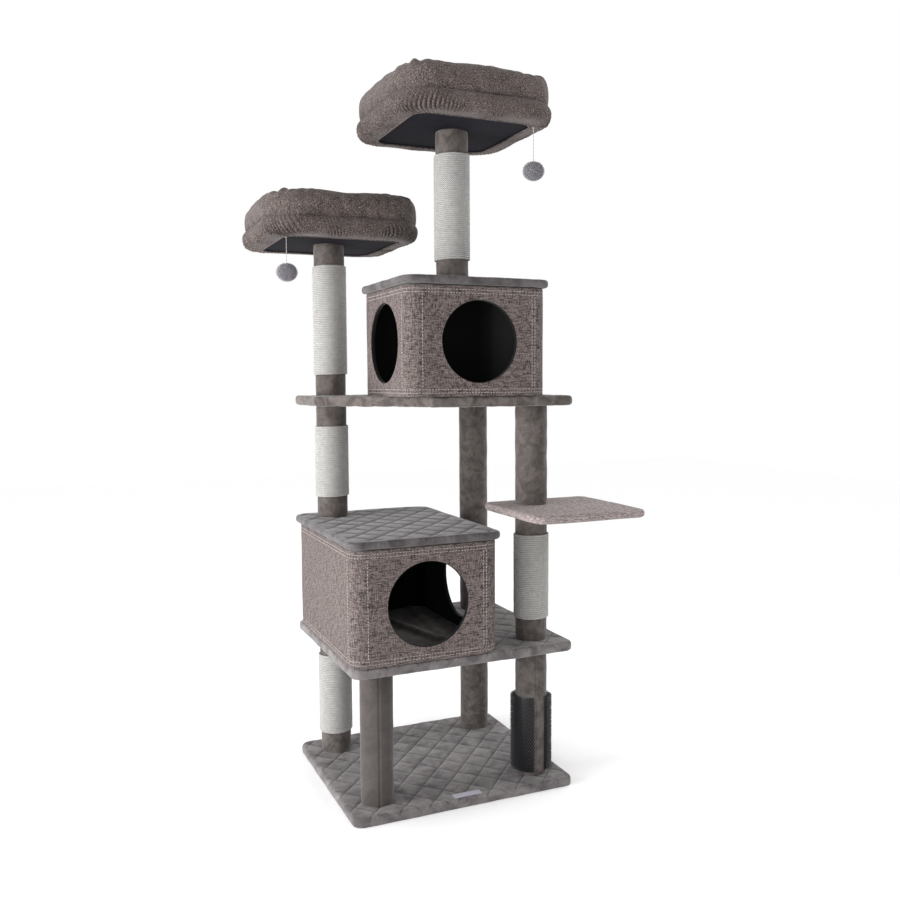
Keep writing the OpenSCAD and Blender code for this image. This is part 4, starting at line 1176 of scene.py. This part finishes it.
# The puckers that the gathering pulls into the roll: slanting folds about the crease, most on the
# left side and at the corners, dimples over the top, and a ridge along each corner's mitre.
points, normals = mesh_points(bolster)
reach = np.abs(points[:, :2]).max(axis=1)
corner_near = np.clip((np.abs(points[:, 0]) + np.abs(points[:, 1]) - 0.235) / 0.07, 0, 1)
outer = np.clip((reach - ROLL_LINE / 2) / 0.03, 0, 1)
run = np.arctan2(points[:, 1], points[:, 0])
phase = run * 44 + 55 * points[:, 2] + 5.5 * unevenness(points * np.array([1, 1, 0.3]), 0.06, 103)
foot = np.exp(-((points[:, 2] - 0.038) / 0.03) ** 2)
patchy = np.clip(0.45 + 0.8 * unevenness(points * np.array([1, 1, 0.2]), 0.07, 106), 0, 1)
left_side = np.clip((-points[:, 0] - 0.13) / 0.04, 0, 1)
pull = foot * outer * np.clip(patchy * (0.12 + 0.5 * corner_near) + 0.8 * left_side, 0, 1)
fold = np.abs(np.sin(phase))
folds = -0.0030 * (1 - fold) ** 2 * pull
over = np.clip(normals[:, 2], 0, 1)
dimples = np.clip(unevenness(points * np.array([1, 1, 0.3]), 0.033, 104), 0, 1) ** 2
folds -= 0.0026 * over * dimples
off_mitre = np.abs(np.abs(points[:, 0]) - np.abs(points[:, 1]))
mitre = 0.0075 * np.exp(-((off_mitre / 0.008) ** 2)) - 0.005 * np.exp(-(((off_mitre - 0.02) / 0.008) ** 2))
folds += over * corner_near * mitre
upper = np.clip((points[:, 2] - 0.05) / 0.05, 0, 1)
folds -= 0.0026 * corner_near * np.abs(np.sin(run * 28 + 0.8)) ** 3 * upper
crease_line = np.exp(-((points[:, 2] - CREASE_Z) / 0.006) ** 2) * outer
crease = -0.0045 * crease_line * (0.6 + 0.4 * unevenness(points, 0.12, 105))
crease -= 0.010 * np.clip((CREASE_Z - points[:, 2]) / 0.012, 0, 1) * outer
points = points + normals * (folds + crease)[:, None]
points[:, 2] = np.clip(points[:, 2], ROLL_FOOT, BED_H + 0.009)
move_points(bolster, points)
# Painted shade for the bed fleece: darker in the folds, along the crease and in the dimples on top.
crease_shade = 0.45 * crease_line * (0.6 + 0.4 * patchy)
paint_fold_shade(bolster, 0.9 * (1 - fold) ** 3 * pull + crease_shade + 0.25 * over * dimples)
apply_modifier(bolster, "SUBSURF", levels=1, render_levels=1)
smooth_faces(bolster)

# Heathered fleece: brown-grey melange of dark and pale yarns, softer and hairier than the linen;
# its 1 mm loops are drawn 2.4 mm wide so that they show.
def melange(name, dark, light, fleck):
    """Heathered melange fleece, with soft loops instead of straight threads. It has painted shade
    inside its folds, where a piece's own attribute called tuck is near 1."""
    material, tree, shader = new_finish(name, Roughness=0.95, Sheen_Weight=0.12, Sheen_Roughness=0.5)
    shader.inputs["Specular IOR Level"].default_value = 0.2
    place = add(tree, "TexCoord")
    yarn = add(tree, "TexNoise",
               {"Vector": place.outputs["Object"], "Scale": 410.0, "Detail": 2.0, "Roughness": 0.6})
    blotch = add(tree, "TexNoise", {"Vector": place.outputs["Object"], "Scale": 28.0, "Detail": 3.0})
    loops = add(tree, "TexVoronoi", {"Vector": place.outputs["Object"], "Scale": 380.0})
    mixed = add(tree, "Math", {0: blotch.outputs["Fac"], 1: 0.2, 2: yarn.outputs["Fac"]},
                operation="MULTIPLY_ADD")
    spread = add(tree, "MapRange", {"Value": mixed.outputs[0], "From Min": 0.49, "From Max": 0.71})
    shade = add(tree, "Mix", {0: spread.outputs[0], 6: linear(dark), 7: linear(light)}, data_type="RGBA")
    few = add(tree, "MapRange", {"Value": yarn.outputs["Fac"], "From Min": 0.6, "From Max": 0.72})
    flecked = add(tree, "Mix", {0: few.outputs[0], 6: shade.outputs[2], 7: linear(fleck)}, data_type="RGBA")
    # Painted shade: the colour is darkened in the folds, by the tuck attribute.
    deep = add(tree, "Attribute", attribute_name="tuck")
    dim = add(tree, "MapRange", {"Value": deep.outputs["Fac"], "To Min": 1.06, "To Max": 0.38})
    colour = add(tree, "Mix", {0: 1.0, 6: flecked.outputs[2], 7: dim.outputs[0]}, data_type="RGBA",
                 blend_type="MULTIPLY")
    tree.links.new(colour.outputs[2], shader.inputs["Base Color"])
    coarse = add(tree, "Bump", {"Height": loops.outputs["Distance"], "Strength": 0.5, "Distance": 0.0009})
    fine = add(tree, "Bump", {"Height": yarn.outputs["Fac"], "Strength": 0.5, "Distance": 0.0008,
                              "Normal": coarse.outputs[0]})
    tree.links.new(fine.outputs[0], shader.inputs["Normal"])
    return material


bed_fleece = melange("heathered_bed_fleece", "#352d2b", "#665c59", "#8f8581")

# ---------------------------------------------------------------------------------------------
# Bed skirts. The bed's cover goes on down round the board's edge and is gathered under it by an
# elastic hem, in fine pleats that are deepest on the left side and at the corners.
# ---------------------------------------------------------------------------------------------
SKIRT_STEPS, PLEATS = 1400, 156
# The skirt's section, from crease to hem: how far out from the board's edge, and how high.
SKIRT_LINE = [(0.024, 0.046), (0.0365, 0.042), (0.0425, 0.034), (0.0440, 0.024), (0.0420, 0.013),
              (0.0360, 0.004), (0.027, -0.0010), (0.016, -0.0028), (0.006, -0.0031), (-0.004, -0.0032),
              (-0.0095, -0.0036)]
HEM_R = 0.0022
EDGE_W, EDGE_TURN = 2 * BOARD_HALF, 0.05


def skirt_section(turn):
    """How far out from the board's edge and how high the skirt is, from its crease to its hem."""
    stops = np.linspace(0, 1, len(SKIRT_LINE))
    return tuple(np.interp(turn, stops, [p[k] for p in SKIRT_LINE]) for k in (0, 1))


skirt = tube_of("left_bed_gathered_skirt", SKIRT_STEPS, 14, EDGE_W, EDGE_TURN, skirt_section)
points, normals = mesh_points(skirt)
run = np.arctan2(points[:, 1], points[:, 0])
corner_near = np.clip((np.abs(points[:, 0]) + np.abs(points[:, 1]) - 0.25) / 0.07, 0, 1)
phase = run * PLEATS + 260 * points[:, 2] + 5.0 * unevenness(points * np.array([1, 1, 0.15]), 0.07, 111)
strong = 0.0007 + 0.0020 * np.clip((0.034 - points[:, 2]) / 0.03, 0, 1)
left_side = np.clip((-points[:, 0] - 0.11) / 0.06, 0, 1)
strong *= np.clip(0.25 + 0.35 * corner_near + 0.8 * left_side + 0.5 * unevenness(points, 0.05, 112), 0.1, 1.3)
strong *= np.clip((points[:, 2] + 0.0046) / 0.004, 0.25, 1)
move_points(skirt, points + normals * (strong * np.sin(phase) + 0.3 * strong * np.sin(2.3 * phase))[:, None])
# Painted shade for the bed fleece: darker in the hollows of the pleats.
paint_fold_shade(skirt, 0.95 * np.clip(-np.sin(phase), 0, 1) ** 1.5 * np.clip(strong / 0.0018, 0, 1))
apply_modifier(skirt, "SOLIDIFY", thickness=0.0012, offset=-1)
smooth_faces(skirt)


def hem_section(turn):
    """The round section of the elastic in the skirt's hem."""
    return (-0.0095 + HEM_R * np.cos(turn * 2 * math.pi), -0.0030 + HEM_R * np.sin(turn * 2 * math.pi))


hem = tube_of("left_bed_elastic_hem", 640, 8, EDGE_W, EDGE_TURN, hem_section)
points, normals = mesh_points(hem)
run = np.arctan2(points[:, 1], points[:, 0])
lift = 0.0007 * np.sin(run * PLEATS + 3.0 * unevenness(points * np.array([1, 1, 0.15]), 0.07, 111))
move_points(hem, points + normals * lift[:, None])
smooth_faces(hem)

# ---------------------------------------------------------------------------------------------
# Seat pads. A plush pad 25 mm thick lies on the board inside the roll, crowned in the middle and
# pulled down to the board at its edges.
# ---------------------------------------------------------------------------------------------
PAD_HALF, PAD_T = 0.1262, 0.025
pad_velvet = plush("seat_pad_plush", "#6d6461", "#8a817d", 0.035, sheen=0.45)
seat = soft_slab("left_bed_seat_pad", (-PAD_HALF, -PAD_HALF, ROLL_FOOT),
                 (2 * PAD_HALF, 2 * PAD_HALF, PAD_T - 0.004), 0.012, 0.006)
apply_modifier(seat, "REMESH", mode="VOXEL", voxel_size=0.005)
points, normals = mesh_points(seat)
swollen(seat, 0.006, pressure=3.0, slack=0.03, held=np.nonzero(points[:, 2] < 0.0136)[0])
points, normals = mesh_points(seat)
over = np.clip(normals[:, 2], 0, 1)
dent = -0.004 * np.exp(-((np.linalg.norm(points[:, :2], axis=1) / 0.012) ** 2)) * over
move_points(seat, points + normals * (dent + 0.0008 * unevenness(points, 0.04, 121) * over)[:, None])
points, normals = mesh_points(seat)
points[:, 2] = np.clip(points[:, 2], 0.0124, None)
move_points(seat, points)
apply_modifier(seat, "SUBSURF", levels=1, render_levels=1)
smooth_faces(seat)

# The second bed is the same, made from the first and mirrored front to back, so its folds differ.
soft_parts = {"left_bed": (bolster, skirt, hem, seat)}
soft_parts["top_bed"] = tuple(copied(piece, piece.name.replace("left_bed", "top_bed"), (0, 0, 0))
                              for piece in soft_parts["left_bed"])
for piece in soft_parts["top_bed"]:
    piece.data.transform(Matrix.Diagonal((1, -1, 1, 1)))
    piece.data.flip_normals()
for bed, (x, y, z) in BEDS.items():
    for piece in soft_parts[bed]:
        piece.data.transform(Matrix.Translation((x, y, z)))
    roll, edge, elastic, pad = soft_parts[bed]
    give_finish(pad, pad_velvet)
    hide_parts(bed + "_pad")
    for piece in (roll, edge, elastic):
        give_finish(piece, bed_fleece)
        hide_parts(bed + "_roll")
    for piece in soft_parts[bed]:
        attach(piece, "tree")

# ---------------------------------------------------------------------------------------------
# Tag. A blank woven tag 75 by 22 mm is sewn by both its short ends to the middle of the base's
# front edge.
# ---------------------------------------------------------------------------------------------
TAG_L, TAG_W, TAG_T = 0.075, 0.022, 0.001
TAG_IN, TAG_STITCHES = 0.01, 7
TAG_Y = -SHELF_D / 2 + TAG_IN + TAG_W / 2

# Woven satin ribbon: lavender-grey, smooth and slightly glossy, with 0.4 mm ribs drawn 0.9 mm.
satin_ribbon, tree, shader = new_finish("woven_satin_ribbon", Roughness=0.5, Sheen_Weight=0.3)
place = add(tree, "TexCoord")
ribs = add(tree, "TexWave", {"Vector": place.outputs["Object"], "Scale": 350.0, "Distortion": 0.3},
           bands_direction="Y")
tone = add(tree, "TexNoise", {"Vector": place.outputs["Object"], "Scale": 200.0, "Detail": 3.0})
shade = add(tree, "Mix", {0: tone.outputs["Fac"], 6: linear("#8f8b9a"), 7: linear("#aaa6b4")},
            data_type="RGBA")
tree.links.new(shade.outputs[2], shader.inputs["Base Color"])
ridge = add(tree, "Bump", {"Height": ribs.outputs["Fac"], "Strength": 0.3, "Distance": 0.0002})
tree.links.new(ridge.outputs[0], shader.inputs["Normal"])

tag = soft_slab("blank_woven_tag", (-TAG_L / 2, TAG_Y - TAG_W / 2, BASE_TOP + 0.0001),
                (TAG_L, TAG_W, TAG_T), 0.0015, 0.0003, 2)
choose(tag, "FACE", lambda middle, normal: normal.z > 0.9)
bpy.ops.mesh.inset(thickness=0.0012, depth=-0.0002)
bpy.ops.object.mode_set(mode="OBJECT")
smooth_faces(tag, 30)
give_finish(tag, satin_ribbon)
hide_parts("woven_tag")
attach(tag, "tree")
rows = np.array([[side * (TAG_L / 2 - 0.003), TAG_Y + across, BASE_TOP + TAG_T + 0.0002]
                 for side in (-1, 1) for across in np.linspace(-0.0085, 0.0085, TAG_STITCHES)])
tag_seam = scattered("tag_stitching", one_stitch(0.0019, 0.0006),
                     frames(rows, np.tile([0.0, 1.0, 0.0], (len(rows), 1)),
                            np.tile([0.0, 0.0, 1.0], (len(rows), 1))))
give_finish(tag_seam, seam_thread)
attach(tag_seam, "tree")

# ---------------------------------------------------------------------------------------------
# Floor and light. A plain white floor and an even white room, with a broad soft light from the
# left, so the left faces are the brighter ones.
# ---------------------------------------------------------------------------------------------
begin()
bpy.ops.mesh.primitive_plane_add(size=14, location=(0, 1.0, -0.0005))
floor = settle("studio_floor")
# Matt white floor paint, with the faintest roller texture.
floor_paint, tree, shader = new_finish("matt_white_floor", Roughness=0.9)
place = add(tree, "TexCoord")
roller = add(tree, "TexNoise", {"Vector": place.outputs["Object"], "Scale": 60.0, "Detail": 2.0})
shade = add(tree, "Mix", {0: roller.outputs["Fac"], 6: linear("#fcfcfc"), 7: linear("#ffffff")},
            data_type="RGBA")
tree.links.new(shade.outputs[2], shader.inputs["Base Color"])
floor.data.materials.append(floor_paint)

room = bpy.data.worlds.new("white_room")
bpy.context.scene.world = room
room.use_nodes = True
backdrop = room.node_tree.nodes["Background"]
backdrop.inputs["Color"].default_value = (1, 1, 1, 1)
backdrop.inputs["Strength"].default_value = 1.0


def soft_light(name, place, aim, size, power):
    """A square area light at a place, aimed at a point."""
    begin()
    turn = (Vector(aim) - Vector(place)).to_track_quat("-Z", "Y").to_euler()
    bpy.ops.object.light_add(type="AREA", location=place, rotation=turn)
    light = bpy.context.object
    light.name = name
    light.data.size = size
    light.data.energy = power


soft_light("key_light", (-3.0, -0.35, 0.8), (0, 0, 0.8), 1.6, 105)
soft_light("rim_light", (2.9, 0.5, 1.7), (0, 0, 0.95), 1.2, 25)
bpy.context.scene.view_settings.view_transform = "Standard"
